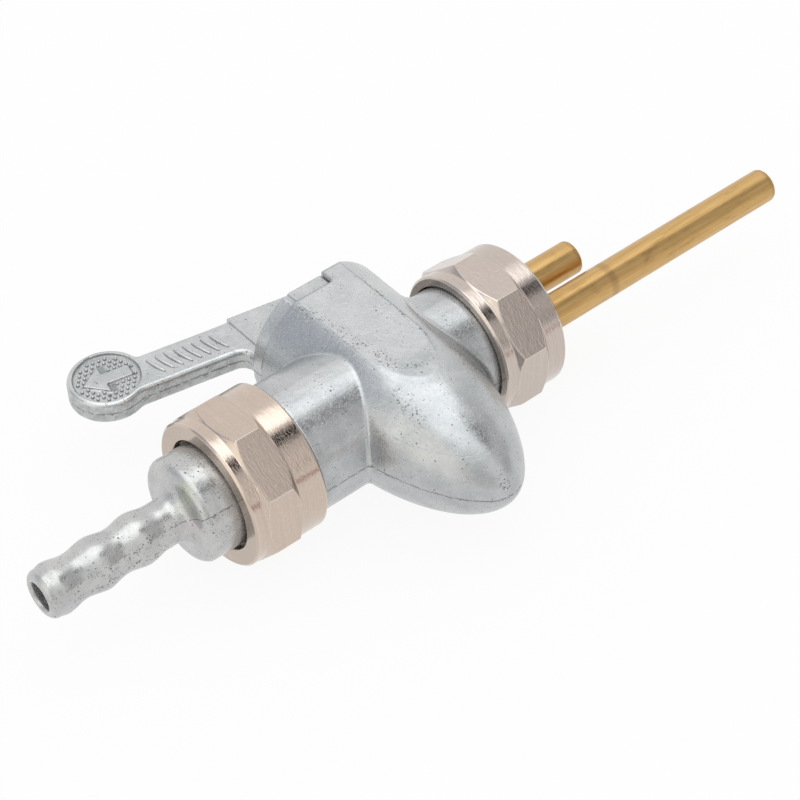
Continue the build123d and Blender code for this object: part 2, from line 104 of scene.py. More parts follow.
# %% [markdown]
# ## Camera
#
# The picture is taken from the hose side, from above. A camera is three directions and a place:
# its back points from the subject to the lens, its right and up span the picture. The azimuth and
# elevation give the back, and the roll turns the other two about it.

# %% Camera
CAMERA_AZIMUTH = -38.31
CAMERA_ELEVATION = 44.685
CAMERA_ROLL = -2.08
CAMERA_PLACE = np.array([-200.516, -227.933, 282.866]) * MM
FOCAL_LENGTH = 107.09  # mm, on a sensor 36 mm wide


def camera_axes(azimuth, elevation, roll):
    """Right, up and back: back from the two angles, then right and up turned about it by the roll."""
    a, e, r = np.radians([azimuth, elevation, roll])
    back = np.array([np.sin(a) * np.cos(e), -np.cos(a) * np.cos(e), np.sin(e)])
    level = np.array([np.cos(a), np.sin(a), 0.0])
    steep = np.cross(back, level)
    right = np.cos(r) * level + np.sin(r) * steep
    up = -np.sin(r) * level + np.cos(r) * steep
    return right, up, back


camera_data = bpy.data.cameras.new("camera")
camera_data.sensor_width = 36.0
camera_data.lens = FOCAL_LENGTH
camera_data.clip_start = 0.01
camera = new_object("camera", camera_data)
camera.matrix_world = placed(*camera_axes(CAMERA_AZIMUTH, CAMERA_ELEVATION, CAMERA_ROLL), CAMERA_PLACE)
bpy.context.scene.camera = camera
bpy.context.scene.view_settings.view_transform = "Standard"
print("camera at", CAMERA_PLACE)

# %% [markdown]
# ## Shader helpers
#
# Every material here is a small tree of nodes. Short helpers keep the trees readable: one adds a
# node and feeds its sockets, the others are single operations on values, vectors and colours.

# %% Shader helpers


class Net:
    """The node tree that is being built, so that no helper has to be told."""

    tree = None


def feed(socket, value):
    """Links a socket to another node, or sets it to a plain value: three numbers do for a colour."""
    if isinstance(value, bpy.types.NodeSocket):
        Net.tree.links.new(value, socket)
    else:
        socket.default_value = (*value, 1.0) if socket.type == "RGBA" and len(value) == 3 else value


def add_node(kind, settings=None, *values, **sockets):
    """Adds a node, sets its properties, and feeds its inputs, in their order or by name."""
    made = Net.tree.nodes.new(kind)
    for key, value in (settings or {}).items():
        setattr(made, key, value)
    for key, value in [*enumerate(values), *sockets.items()]:
        feed(made.inputs[key], value)
    return made


def calc(operation, *values):
    """A Math node on up to three values."""
    return add_node("ShaderNodeMath", {"operation": operation}, *values).outputs[0]


def times(first, second):
    """The product of two values."""
    return calc("MULTIPLY", first, second)


def strongest(masks):
    """The greatest of some values."""
    found = masks[0]
    for mask in masks[1:]:
        found = calc("MAXIMUM", found, mask)
    return found


def vector(operation, first, second, output=0):
    """A Vector Math node on two vectors. Its output called Value holds a product or a distance."""
    return add_node("ShaderNodeVectorMath", {"operation": operation}, first, second).outputs[output]


def axis(position, k):
    """One coordinate of a position: 0, 1 or 2."""
    return add_node("ShaderNodeSeparateXYZ", None, position).outputs[k]


def attribute(name):
    """The value that the mesh keeps under a name."""
    return add_node("ShaderNodeAttribute", {"attribute_name": name}).outputs["Fac"]


def mix_color(amount, first, second):
    """Mixes two colours by an amount."""
    made = add_node("ShaderNodeMix", {"data_type": "RGBA"}, amount)
    feed(made.inputs[6], first)
    feed(made.inputs[7], second)
    return made.outputs[2]


def tint(color, over, mask, amount):
    """Lays a colour over another where a mask is, by an amount."""
    return mix_color(times(mask, amount), color, over)


def ramp(value, low, high):
    """Stretches a value so that low becomes 0 and high becomes 1, smoothly and clamped."""
    smooth = {"interpolation_type": "SMOOTHSTEP"}
    return add_node("ShaderNodeMapRange", smooth, value, low, high).outputs[0]


def new_material(name):
    """An empty material. What is built next goes into it."""
    material = bpy.data.materials.new(name)
    material.use_nodes = True
    Net.tree = material.node_tree
    Net.tree.nodes.clear()
    return material


def finish(material, shader):
    """Joins a shader to the material's output."""
    add_node("ShaderNodeOutputMaterial", Surface=shader.outputs[0])
    return material


def principled(material, color, rough, metallic, height=None):
    """Ends a material with the usual shader, from its chains of nodes. The height is in millimetres."""
    look = {"Base Color": color, "Roughness": rough, "Metallic": metallic}
    if height:
        look["Normal"] = add_node("ShaderNodeBump", Strength=1.0, Distance=MM, Height=height).outputs[0]
    return finish(material, add_node("ShaderNodeBsdfPrincipled", **look))


def gray(value):
    """A neutral colour."""
    return (value, value, value, 1.0)


print("shader helpers ready")

# %% [markdown]
# ## Studio
#
# A small part on a white table under soft light. The floor is white both for the camera and for
# reflections in the metal, and still lets a faint shadow through. Metal shows its surroundings, so
# the world has soft round patches for reflections: bright overhead and on the left, greyer at the
# far and near corners and where the photographer stands, and one dark shape with a brown edge.

# %% Floor
FLOOR_SHADOW_SHARE = 0.09  # how much of the real shading the floor shows
floor_z = frame_box[0][2]


def seen_directly():
    """1 for rays from the camera, from a reflection or through glass, else 0."""
    path = add_node("ShaderNodeLightPath")
    either = calc("MAXIMUM", path.outputs["Is Camera Ray"], path.outputs["Is Glossy Ray"])
    return calc("MAXIMUM", either, path.outputs["Is Transmission Ray"])


def floor_material():
    """White diffuse floor, shown mostly as plain white where it is seen directly."""
    material = new_material("studio_floor")
    matte = add_node("ShaderNodeBsdfDiffuse", Color=gray(0.9))
    plain = add_node("ShaderNodeEmission", Color=gray(1.0), Strength=1.0)
    share = times(seen_directly(), 1.0 - FLOOR_SHADOW_SHARE)
    mixed = add_node("ShaderNodeMixShader", None, share, matte.outputs[0], plain.outputs[0])
    return finish(material, mixed)


def flat_card(name, center, half_u, half_v, material):
    """A flat rectangle about a centre, from its two half-edges."""
    c, u, v = (np.asarray(x, float) for x in (center, half_u, half_v))
    mesh = bpy.data.meshes.new(name)
    corners = [list(c + p * u + q * v) for p, q in ((-1, -1), (1, -1), (1, 1), (-1, 1))]
    mesh.from_pydata(corners, [], [(0, 1, 2, 3)])
    card = new_object(name, mesh)
    card.data.materials.append(material)
    return card


flat_card("floor", (0, 0, floor_z), (3, 0, 0), (0, 3, 0), floor_material())
print("floor at z", round(floor_z / MM, 2), "mm")

# %% World
FILL_STRENGTH = 0.96  # what matte surfaces receive
SURROUNDINGS = {  # azimuth from +Y to +X, elevation, inner, outer, colour
    "overhead": (0, 90, 25, 36, (1.90, 1.93, 1.95)),
    "left_window": (-100, 22, 12, 36, (1.40, 1.37, 1.28)),
    "far_corner": (-44, 30, 17, 30, (0.58, 0.61, 0.67)),
    "near_corner": (-150, 12, 14, 34, (0.66, 0.65, 0.64)),
    "photographer_side": (118, 38, 21, 29, (0.58, 0.58, 0.59)),
    "photographer_arm": (139, 18, 9, 16.5, (0.42, 0.405, 0.40)),
    "dark_shape": (127, 60, 8, 15.5, (0.0, 0.0, 0.0)),
    "brown_edge": (157, 1, 4.6, 6.6, (0.26, 0.0, 0.0)),
}


def studio_world():
    """White for the camera, an even fill for matte surfaces, soft round patches for reflections."""
    world = bpy.data.worlds.new("studio")
    world.use_nodes = True
    Net.tree = world.node_tree
    Net.tree.nodes.clear()
    path = add_node("ShaderNodeLightPath")
    direction = add_node("ShaderNodeTexCoord").outputs["Generated"]
    color = gray(1.0)
    for azimuth, elevation, inner, outer, patch in SURROUNDINGS.values():
        a, e = np.radians([azimuth, elevation])
        toward = (np.sin(a) * np.cos(e), np.cos(a) * np.cos(e), np.sin(e))
        near = vector("DOT_PRODUCT", direction, toward, "Value")
        share = ramp(near, np.cos(np.radians(outer)), np.cos(np.radians(inner)))
        color = mix_color(share, color, patch)
    reflected = calc("MAXIMUM", path.outputs["Is Glossy Ray"], path.outputs["Is Transmission Ray"])
    color = mix_color(reflected, gray(FILL_STRENGTH), color)
    color = mix_color(path.outputs["Is Camera Ray"], color, gray(1.0))
    shine = add_node("ShaderNodeBackground", Color=color, Strength=1.0)
    add_node("ShaderNodeOutputWorld", Surface=shine.outputs[0])
    bpy.context.scene.world = world


studio_world()
print("world with", len(SURROUNDINGS), "patches")

# %% Lamps
TOP_LAMP = {"place": (0.10, 0.05, 0.52), "width": 0.42, "height": 0.34, "power": 0.16}
SIDE_LAMP = {"place": (-0.5, 0.15, 0.30), "width": 0.40, "height": 0.30, "power": 0.075}


def area_lamp(name, place, width, height, power):
    """A rectangular lamp that looks from its place at the plug."""
    data = bpy.data.lights.new(name, "AREA")
    data.shape = "RECTANGLE"
    data.size, data.size_y, data.energy = width, height, power
    lamp = new_object(name, data)
    place, target = np.array(place), np.array([PLUG_X, 0.0, 0.0])
    z_axis = (place - target) / np.linalg.norm(place - target)
    x_axis = np.cross([0.0, 1.0, 0.0], z_axis)
    x_axis /= np.linalg.norm(x_axis)
    lamp.matrix_world = placed(x_axis, np.cross(z_axis, x_axis), z_axis, place)
    return lamp


area_lamp("top_softbox", **TOP_LAMP)
area_lamp("left_softbox", **SIDE_LAMP)
print("lamps set")

# %% [markdown]
# ## Shared surface effects
#
# A casting, a plated nut and a drawn tube share two effects: small dark specks in clusters, and
# fine lines in one direction. Each effect is a node group that is built once. It is fed with a
# position in millimetres, so its numbers are real sizes, and puts out one mask.

# %% Effect groups


def new_group(name, **defaults):
    """An empty effect group: a position and the named values go in. What is built next goes into it."""
    Net.tree = bpy.data.node_groups.new(name, "ShaderNodeTree")
    sockets = Net.tree.interface
    sockets.new_socket("position", in_out="INPUT", socket_type="NodeSocketVector")
    for label, default in defaults.items():
        kind = "NodeSocketVector" if isinstance(default, tuple) else "NodeSocketFloat"
        sockets.new_socket(label, in_out="INPUT", socket_type=kind).default_value = default
    sockets.new_socket("mask", in_out="OUTPUT", socket_type="NodeSocketFloat")
    return Net.tree.nodes.new("NodeGroupInput").outputs


def end_group(mask):
    """Puts a mask out of the group that is being built, and gives the group."""
    add_node("NodeGroupOutput", None, mask)
    return Net.tree


def noise(position, scale, detail=2.0, roughness=0.5, output="Fac"):
    """A noise value or colour, from 0 to 1."""
    grain = {"Vector": position, "Scale": scale, "Detail": detail, "Roughness": roughness}
    return add_node("ShaderNodeTexNoise", **grain).outputs[output]


def turned_about(axis_name, position, angle):
    """A position turned about X_AXIS, Y_AXIS or Z_AXIS."""
    settings = {"rotation_type": axis_name}
    return add_node("ShaderNodeVectorRotate", settings, Vector=position, Angle=angle).outputs[0]


def speck_group():
    """Specks: cells of a bent Voronoi pattern, kept where a slow noise and their own chance allow."""
    given = new_group("specks", per_mm=1.6, size=0.22, share=0.25, cluster=3.0)
    wobble = noise(given["position"], 2.2, 2.0, output="Color")
    bent = vector("ADD", given["position"], vector("MULTIPLY", wobble, (0.5, 0.5, 0.5)))
    cells = add_node("ShaderNodeTexVoronoi", Vector=bent, Scale=given["per_mm"])
    chance = add_node("ShaderNodeSeparateColor", None, cells.outputs["Color"])
    slow = noise(given["position"], calc("DIVIDE", 1.0, given["cluster"]), 2.0)
    cluster = ramp(slow, 0.42, 0.68)
    kept = calc("LESS_THAN", chance.outputs[0], times(given["share"], cluster))
    radius = times(given["size"], calc("ADD", 0.5, chance.outputs[1]))
    inside = ramp(cells.outputs["Distance"], radius, times(radius, 0.55))
    return end_group(times(inside, kept))


def line_group():
    """Fine lines: noise on a position that is squeezed along the lines and stretched across them."""
    given = new_group("fine_lines", squeeze=(1.0, 1.0, 1.0), contrast=0.18)
    squeezed = vector("MULTIPLY", given["position"], given["squeeze"])
    raw = noise(squeezed, 1.0, 3.0, 0.6)
    low = calc("SUBTRACT", 0.5, given["contrast"])
    high = calc("ADD", 0.5, given["contrast"])
    return end_group(ramp(raw, low, high))


SCRATCH_RUNS = (  # turn, squeeze, shift
    (0.6, (0.45, 11.0, 3.0), 0.0),
    (-0.5, (0.6, 13.0, 2.5), 7.0),
    (1.4, (0.4, 9.0, 3.5), 13.0),
)


def scratch_group():
    """Thin scattered scratches: the rare peaks of strongly squeezed noise, in several directions."""
    given = new_group("scratches", amount=0.5)
    found = []
    for turn, squeeze, place in SCRATCH_RUNS:
        moved = vector("ADD", turned_about("Z_AXIS", given["position"], turn), (place, 0.0, 0.0))
        raw = noise(vector("MULTIPLY", moved, squeeze), 1.0, 1.0)
        found.append(ramp(raw, calc("SUBTRACT", 0.72, times(given["amount"], 0.14)), 0.74))
    return end_group(strongest(found))


SPECKS, FINE_LINES, SCRATCHES = speck_group(), line_group(), scratch_group()


def effect(group, position, **values):
    """Places an effect group in a material and gives what it puts out."""
    return add_node("ShaderNodeGroup", {"node_tree": group}, position, **values).outputs[0]


def start_material(name):
    """An empty material, and the point on the piece in millimetres from the plug axis."""
    material = new_material(name)
    point = add_node("ShaderNodeTexCoord").outputs["Object"]
    to_mm = {"Vector": point, "Scale": (1 / MM, 1 / MM, 1 / MM), "Location": (-PLUG_X / MM, 0, 0)}
    return material, add_node("ShaderNodeMapping", **to_mm).outputs[0]


print("effect groups", SPECKS.name, FINE_LINES.name, SCRATCHES.name)

# %% [markdown]
# ## Zinc casting
#
# A die casting comes out of its mould satin grey, a little cloudy, with small dark pores in
# clusters and fine handling scratches. The two halves of the mould leave a thin line round the
# part at mid height. On this casting the pores crowd along the left crease of the flat on top.

# %% Zinc
ZINC_LIGHT = (0.540, 0.552, 0.557)
ZINC_DARK = (0.425, 0.442, 0.454)
ZINC_MOTTLE = (0.410, 0.420, 0.425)
ZINC_METALLIC = 0.76
NOZZLE_LIGHT = (0.590, 0.592, 0.575)
NOZZLE_DARK = (0.470, 0.475, 0.470)
PORE_COLOR = (0.085, 0.085, 0.08)
# bright colour for painted glints beside the pores, and the colour of the scratches
GLINT_AND_SCRATCH_COLOR = (0.74, 0.75, 0.75)
# dark colour for dirt and painted shade in the lever's recesses, at the foot of its relief and on its side walls
ZINC_SHADE_AND_DIRT = (0.20, 0.21, 0.205)
# The next three colours are painted light on the flat on top and right of it, and painted shade on the left side
# of the barrel and along the creases.
FLAT_PAINTED_LIGHT, LEFT_PAINTED_SHADE, CREASE_PAINTED_SHADE = (0.78, 0.79, 0.79), (0.36, 0.385, 0.41), (0.22, 0.23, 0.23)
PORE_TRAILS = {  # from, to, reach, in mm from the plug axis
    "left_crease": ((-6.2, 14.0, 13.1), (-3.4, -6.5, 13.1), 2.0),
    "right_crease": ((6.3, 13.0, 13.1), (5.2, -6.5, 13.1), 0.55),
    "facet_end": ((-3.5, -7.5, 13.1), (0.5, -9.8, 13.0), 1.0),
    "nose_flank": ((-6.4, -11.5, 11.6), (-6.8, -17.5, 10.2), 1.8),
    "nose_tip": ((-0.5, -31.2, 4.6), (-0.8, -32.0, 2.2), 1.8),
}

NEAR_SHARE = 0.2  # share of a reach within which a mark is full
CREASES = [  # from, to, reach: the edges of the flat on top
    ((-6.0, 14.0, 13.1), (-5.9, -4.0, 13.1), 0.30),
    ((6.0, 14.0, 13.1), (5.9, -4.0, 13.1), 0.34),
    ((5.9, -4.0, 13.1), (4.2, -8.5, 13.0), 0.34),
]


def near_segment(position, start, end, reach):
    """1 near a straight segment, fading to 0 at a distance from it."""
    start, end = np.array(start), np.array(end)
    length = np.linalg.norm(end - start)
    heading = tuple((end - start) / length)
    from_start = vector("SUBTRACT", position, tuple(start))
    along = vector("DOT_PRODUCT", from_start, heading, "Value")
    held = calc("MINIMUM", calc("MAXIMUM", along, 0.0), length)
    foot = add_node("ShaderNodeVectorMath", {"operation": "SCALE"}, heading, Scale=held).outputs[0]
    return ramp(vector("DISTANCE", from_start, foot, "Value"), reach, NEAR_SHARE * reach)


def near_trails(position, trails):
    """1 near any of the trails."""
    return strongest([near_segment(position, *trail) for trail in trails])


def pore_crowd(position, near):
    """Close-set pores where near is 1, and painted glints, bright specks, between them."""
    crowd = effect(SPECKS, position, per_mm=2.6, size=0.42, share=3.6, cluster=0.7)
    aside = vector("ADD", position, (5.0, 9.0, 3.0))
    # painted glints: bright specks between the pores
    glints = effect(SPECKS, aside, per_mm=2.8, size=0.26, share=2.4, cluster=0.9)
    return times(crowd, near), times(glints, near)


def parting_line(position, height, width, broken):
    """A thin line at one height, which wanders a little and breaks off, and a wider band about it."""
    z = axis(position, 2)
    wander = times(calc("SUBTRACT", noise(position, 0.5), 0.5), 0.5)
    off = calc("ABSOLUTE", calc("SUBTRACT", z, calc("ADD", wander, height)))
    gaps = ramp(noise(position, 1.1, 3.0), broken, broken + 0.12)
    return times(ramp(off, width, 0.3 * width), gaps), ramp(off, 0.55, 0.1)


def facet_painted_light(p, color):
    """Painted light, lighter on the flat on top and right of it, and painted shade, greyer on the left and a
    darker line along each crease.
    """
    facing_x, facing_z = attribute("facing_x"), attribute("facing_z")
    on_barrel = ramp(axis(p, 1), -10.0, -5.0)
    flat = ramp(facing_z, 0.990, 0.998)
    right = times(ramp(facing_x, 0.15, 0.35), ramp(axis(p, 2), 9.0, 11.0))
    lighter = times(calc("MAXIMUM", flat, right), on_barrel)
    left = times(ramp(facing_x, -0.15, -0.40), on_barrel)
    left = times(left, ramp(axis(p, 0), -14.0, -12.5))
    # painted light: the flat and the right side lighter; painted shade: the left side greyer
    color = tint(color, FLAT_PAINTED_LIGHT, lighter, 0.30)
    color = tint(color, LEFT_PAINTED_SHADE, left, 0.45)
    # painted shade: a darker line along each crease
    for crease in CREASES:
        line = times(near_segment(p, *crease), noise(p, 0.9, 3.0))
        color = tint(color, CREASE_PAINTED_SHADE, line, 0.45)
    return color


def zinc_material(
    name, pores, tones, trails=(), seam_turn=0.0, seam_from=-99.0, second_seam=None, bloom_at=(), shade=None
):
    """Satin zinc with a share of pores, trails where they crowd, painted glints beside them, and parting lines at
    a turn about X.
    """
    material, p = start_material(name)
    clouds = ramp(noise(p, 0.22, 4.0, 0.6), 0.30, 0.70)
    mottle = noise(p, 1.7, 4.0, 0.65)
    few = effect(SPECKS, p, per_mm=1.3, size=0.17, share=pores, cluster=3.2)
    tiny = effect(SPECKS, p, per_mm=2.8, size=0.22, share=1.3 * pores, cluster=2.2)
    spots = calc("MAXIMUM", few, tiny)
    turned = turned_about("X_AXIS", p, seam_turn)
    seam, beside = parting_line(turned, 0.0, 0.15, 0.38)
    along = ramp(axis(p, 0), seam_from - 2.0, seam_from + 2.0)
    seam = times(seam, along)
    if second_seam:
        faint = parting_line(turned, second_seam, 0.06, 0.46)[0]
        seam = calc("MAXIMUM", seam, times(faint, 0.45))
    near = times(beside, 0.7)
    if trails:
        near = calc("MAXIMUM", near, near_trails(p, trails))
    crowd, glints = pore_crowd(p, near)
    spots = calc("MAXIMUM", spots, crowd)
    marks = calc("MAXIMUM", spots, times(seam, 0.85))
    shade_and_dirt = attribute("shade_and_dirt")
    scratched = effect(SCRATCHES, p, amount=0.7)
    color = mix_color(clouds, tones[0], tones[1])
    color = tint(color, ZINC_MOTTLE, mottle, 0.35)
    # painted light and shade from the shade function, where one is given
    if shade:
        color = shade(p, color)
    for place, reach, bloom in bloom_at:
        away = vector("DISTANCE", p, place, "Value")
        color = tint(color, bloom, ramp(away, reach, NEAR_SHARE * reach), 0.6)
    color = tint(color, GLINT_AND_SCRATCH_COLOR, scratched, 0.30)
    # painted glints beside the pores
    color = tint(color, GLINT_AND_SCRATCH_COLOR, glints, 0.5)
    # dirt and painted shade that the mesh holds
    color = tint(color, ZINC_SHADE_AND_DIRT, shade_and_dirt, 0.75)
    color = tint(color, PORE_COLOR, marks, 0.75)
    rough = calc("MULTIPLY_ADD", mottle, 0.18, 0.18)
    rough = calc("MULTIPLY_ADD", calc("MAXIMUM", marks, shade_and_dirt), 0.25, rough)
    height = times(noise(p, 1.1, 3.0, 0.6), 0.020)
    height = calc("MULTIPLY_ADD", noise(p, 3.4, 3.0), 0.0036, height)
    height = calc("MULTIPLY_ADD", scratched, -0.006, height)
    height = calc("MULTIPLY_ADD", marks, -0.06, height)
    return principled(material, color, rough, ZINC_METALLIC, height)


NOZZLE_SEAM_TURN = 31.0  # degrees, upwards on the camera's side
NOZZLE_BLOOM = [  # place in mm, reach, colour
    ((-45.2, -3.0, 6.6), 3.2, (0.50, 0.57, 0.40)),
    ((-45.4, -6.4, 2.0), 3.4, (0.62, 0.47, 0.51)),
    ((-43.6, -3.0, 8.4), 2.6, (0.40, 0.42, 0.34)),
]
NOZZLE_TRAILS = (
    ((-66.5, -4.6, -0.6), (-48.5, -4.3, -0.3), 1.4),
    ((-60.0, -4.2, 1.6), (-50.0, -3.8, 2.4), 1.2),
)
CAST_TONES = (ZINC_DARK, ZINC_LIGHT)
LEVER_TONES = ((0.490, 0.507, 0.512), (0.615, 0.625, 0.628))
# the body's shade function paints light on the flat on top and shade on the left side and along the creases
zinc_body = zinc_material(
    "zinc_body", 0.42, CAST_TONES, tuple(PORE_TRAILS.values()), second_seam=6.9, shade=facet_painted_light
)
zinc_lever = zinc_material("zinc_lever", 0.45, LEVER_TONES)
zinc_nozzle = zinc_material(
    "zinc_nozzle",
    0.9,
    (NOZZLE_DARK, NOZZLE_LIGHT),
    NOZZLE_TRAILS,
    seam_turn=np.radians(NOZZLE_SEAM_TURN),
    seam_from=-45.5,
    bloom_at=NOZZLE_BLOOM,
)
print("zinc materials made")

# %% [markdown]
# ## Nickel plate
#
# The nuts are turned and milled from brass bar and plated. The plate is bright and warm, with fine
# tool marks that run round the nut, and its sharp edges carry a painted highlight, a thin bright line.
# The nut's mesh says where its edges are, in an attribute that the material reads.

# %% Nickel and brass
NICKEL_LEFT = (0.600, 0.497, 0.424)
NICKEL_RIGHT = (0.566, 0.493, 0.446)
# bright colour for the painted highlight on the nut's edges, and for its scratches
NICKEL_HIGHLIGHT_AND_SCRATCH = (0.86, 0.80, 0.72)
TOOL_MARK_COLOR, STAIN_COLOR = (0.36, 0.29, 0.24), (0.62, 0.47, 0.40)
# the second colour on the next line is painted shade for the nut's bore and faces
NICKEL_SPECK, NICKEL_PAINTED_SHADE = (0.16, 0.12, 0.10), (0.27, 0.22, 0.17)
BRASS_LIGHT = (0.650, 0.420, 0.170)
BRASS_MIDDLE = (0.545, 0.340, 0.125)
BRASS_DARK = (0.360, 0.205, 0.070)
BRASS_SPECK, BRASS_END = (0.20, 0.11, 0.05), (0.33, 0.19, 0.09)


def nickel_material():
    """Warm plate, rosier on the hose side, with tool marks round it, faint stains, a painted highlight on its
    edges and painted shade in its bore and on its faces.
    """
    material, p = start_material("nickel")
    marks = effect(FINE_LINES, p, squeeze=(3.4, 0.10, 0.10), contrast=0.22)
    strokes = effect(FINE_LINES, p, squeeze=(4.0, 0.8, 0.8), contrast=0.30)  # they fray what is mirrored
    specks = effect(SPECKS, p, per_mm=1.5, size=0.09, share=0.22, cluster=4.0)
    color = mix_color(ramp(axis(p, 0), -10.0, 10.0), NICKEL_LEFT, NICKEL_RIGHT)
    color = tint(color, TOOL_MARK_COLOR, marks, 0.13)
    color = tint(color, STAIN_COLOR, ramp(noise(p, 0.35, 3.0), 0.52, 0.72), 0.14)
    color = tint(color, NICKEL_SPECK, specks, 0.6)
    color = tint(color, NICKEL_HIGHLIGHT_AND_SCRATCH, effect(SCRATCHES, p, amount=0.5), 0.25)
    # painted shade in the bore and on the faces
    color = tint(color, NICKEL_PAINTED_SHADE, attribute("shade_and_dirt"), 0.6)
    # painted highlight along the sharp edges
    color = tint(color, NICKEL_HIGHLIGHT_AND_SCRATCH, attribute("painted_edge_highlight"), 0.7)
    height = calc("MULTIPLY_ADD", strokes, 0.016, times(marks, 0.0014))
    return principled(material, color, calc("MULTIPLY_ADD", marks, 0.08, 0.11), 1.0, height)


def brass_material():
    """Drawn brass with lengthwise streaks, darker patches of tarnish, dark ends and a slight waviness."""
    material, p = start_material("drawn_brass")
    streaks = effect(FINE_LINES, p, squeeze=(0.10, 2.6, 2.6), contrast=0.20)
    draw = effect(FINE_LINES, p, squeeze=(0.10, 4.0, 4.0), contrast=0.3)
    patch = ramp(noise(vector("MULTIPLY", p, (0.35, 1.0, 1.0)), 0.55, 4.0, 0.6), 0.52, 0.74)
    specks = effect(SPECKS, p, per_mm=1.6, size=0.16, share=0.35, cluster=4.0)
    past = [calc("SUBTRACT", axis(p, 0), edge_x(f"{tube}_standpipe", 1)) for tube in ("main", "reserve")]
    color = tint(mix_color(streaks, BRASS_LIGHT, BRASS_MIDDLE), BRASS_DARK, patch, 0.5)
    color = tint(color, BRASS_SPECK, specks, 0.55)
    color = tint(color, BRASS_END, strongest([ramp(calc("ABSOLUTE", x), 1.3, 0.2) for x in past]), 0.45)
    height = calc("ADD", times(draw, 0.003), times(noise(p, 0.8), 0.008))
    return principled(material, color, calc("MULTIPLY_ADD", noise(p, 0.6, 3.0), 0.22, 0.22), 0.85, height)


nickel, brass = nickel_material(), brass_material()
print("nickel and brass made")

# %% [markdown]
# ## Inner finishes
#
# The rotor and gland ring are turned brass, the sleeve and o-ring rubber, the gaskets pressed
# fibre, and the spring, washer and pin bright steel. They show only at the ends of the part.

# %% Inner finishes


def matte(name, low, high, rough, grain_scale, grain_height):
    """A material that isn't metal: two colours mixed by a grain, which also makes its relief."""
    material, p = start_material(name)
    grain = noise(p, grain_scale, 4.0, 0.65)
    rough = calc("MULTIPLY_ADD", grain, 0.2, rough)
    return principled(material, mix_color(grain, low, high), rough, 0.0, times(grain, grain_height))


def turned(name, first, second, lined):
    """Turned metal, smoother between lines round the plug axis. The lines or a soft cloud mix its colours."""
    material, p = start_material(name)
    marks = effect(FINE_LINES, p, squeeze=(0.3, 8.0, 0.3), contrast=0.25)
    color = mix_color(marks if lined else noise(p, 0.8, 3.0), first, second)
    return principled(material, color, calc("MULTIPLY_ADD", marks, 0.12, 0.2), 1.0)


turned_brass = turned("turned_brass", (0.74, 0.55, 0.28), (0.58, 0.40, 0.18), True)
steel = turned("bright_steel", (0.50, 0.50, 0.51), (0.62, 0.62, 0.62), False)
rubber = matte("black_rubber", (0.015, 0.015, 0.015), (0.04, 0.04, 0.04), 0.5, 3.0, 0.01)
fibre = matte("fibre", (0.17, 0.075, 0.045), (0.30, 0.15, 0.09), 0.65, 4.0, 0.03)
finishes = {
    "zinc_casting": zinc_body,
    "nickel_plate": nickel,
    "brass_tube": brass,
    "turned_brass": turned_brass,
    "black_rubber": rubber,
    "fibre_gasket": fibre,
    "spring_steel": steel,
}
slot_of = {part["node"]: part["material_slot"] for part in frame["record"]["subparts"]}
body_of = {node: body for body, held in frame["record"]["behaviour"]["bodies"].items() for node in held}
for name, node in nodes.items():
    node.data.materials.clear()
    node.data.materials.append(finishes[slot_of[name]])
print("finishes on", len(nodes), "nodes")

# %% [markdown]
# ## Surfaces from grids
#
# The new pieces are surfaces of two parameters: a closed section, and an angle that carries it
# round an axis. Their points are one numpy array, and their faces join neighbouring points. The
# volume that a closed surface holds tells whether its faces point outwards.

# %% Surface helpers


def grid_faces(rows, columns):
    """Quads between neighbours on a grid that is closed both ways."""
    r, c = np.meshgrid(np.arange(rows), np.arange(columns), indexing="ij")
    after, beside = (r + 1) % rows, (c + 1) % columns
    corners = [r * columns + c, after * columns + c, after * columns + beside, r * columns + beside]
    return np.stack(corners, -1).reshape(-1, 4)


def volume_inside(points, quads):
    """Sum over the two halves of every quad of the tetrahedron from the origin, a sixth of a.(b x c)."""
    a, b, c, d = (points[quads[:, k]] for k in range(4))
    return (np.einsum("ij,ij->", a, np.cross(b, c)) + np.einsum("ij,ij->", a, np.cross(c, d))) / 6


def make_mesh(name, grid_mm):
    """A smooth mesh from a grid of points in mm from the plug axis, with its faces turned outwards."""
    quads, points = grid_faces(*grid_mm.shape[:2]), grid_mm.reshape(-1, 3)
    if volume_inside(points, quads) < 0:
        quads = quads[:, ::-1]
    mesh = bpy.data.meshes.new(name)
    mesh.from_pydata(to_frame(points).tolist(), [], quads.tolist())
    mesh.shade_smooth()
    return mesh


def add_piece(name, mesh, material, stands_for, replaced=True):
    """Puts a mesh in the scene on the body of the node that it stands for or belongs to."""
    mesh.materials.clear()
    mesh.materials.append(material)
    piece = new_object(name, mesh)
    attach(piece, body_of[stands_for])
    if replaced:
        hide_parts(stands_for)
    print(name, len(mesh.polygons), "faces")
    return piece


def set_attribute(mesh, name, values):
    """Stores one value per point under a name that a material can read."""
    made = mesh.attributes.new(name, "FLOAT", "POINT")
    made.data.foreach_set("value", np.asarray(values, np.float32).ravel())


def plane_waves(points, wavelength, seed, count=20):
    """Unevenness from about -1 to 1: a sum of plane waves with seeded directions, lengths and phases."""
    rng = np.random.default_rng(seed)
    heading = rng.normal(size=(count, 3))
    heading /= np.linalg.norm(heading, axis=1, keepdims=True)
    stretch = wavelength * rng.uniform(0.7, 1.4, (count, 1))
    phase = rng.uniform(0, 2 * np.pi, count)
    return np.sin(points @ (2 * np.pi * heading / stretch).T + phase).sum(1) / np.sqrt(2 * count)


def smooth_step(value, low, high):
    """0 below low, 1 above high, and an even curve between."""
    t = np.clip((value - low) / (high - low), 0, 1)
    return t * t * (3 - 2 * t)


print("surface helpers ready")

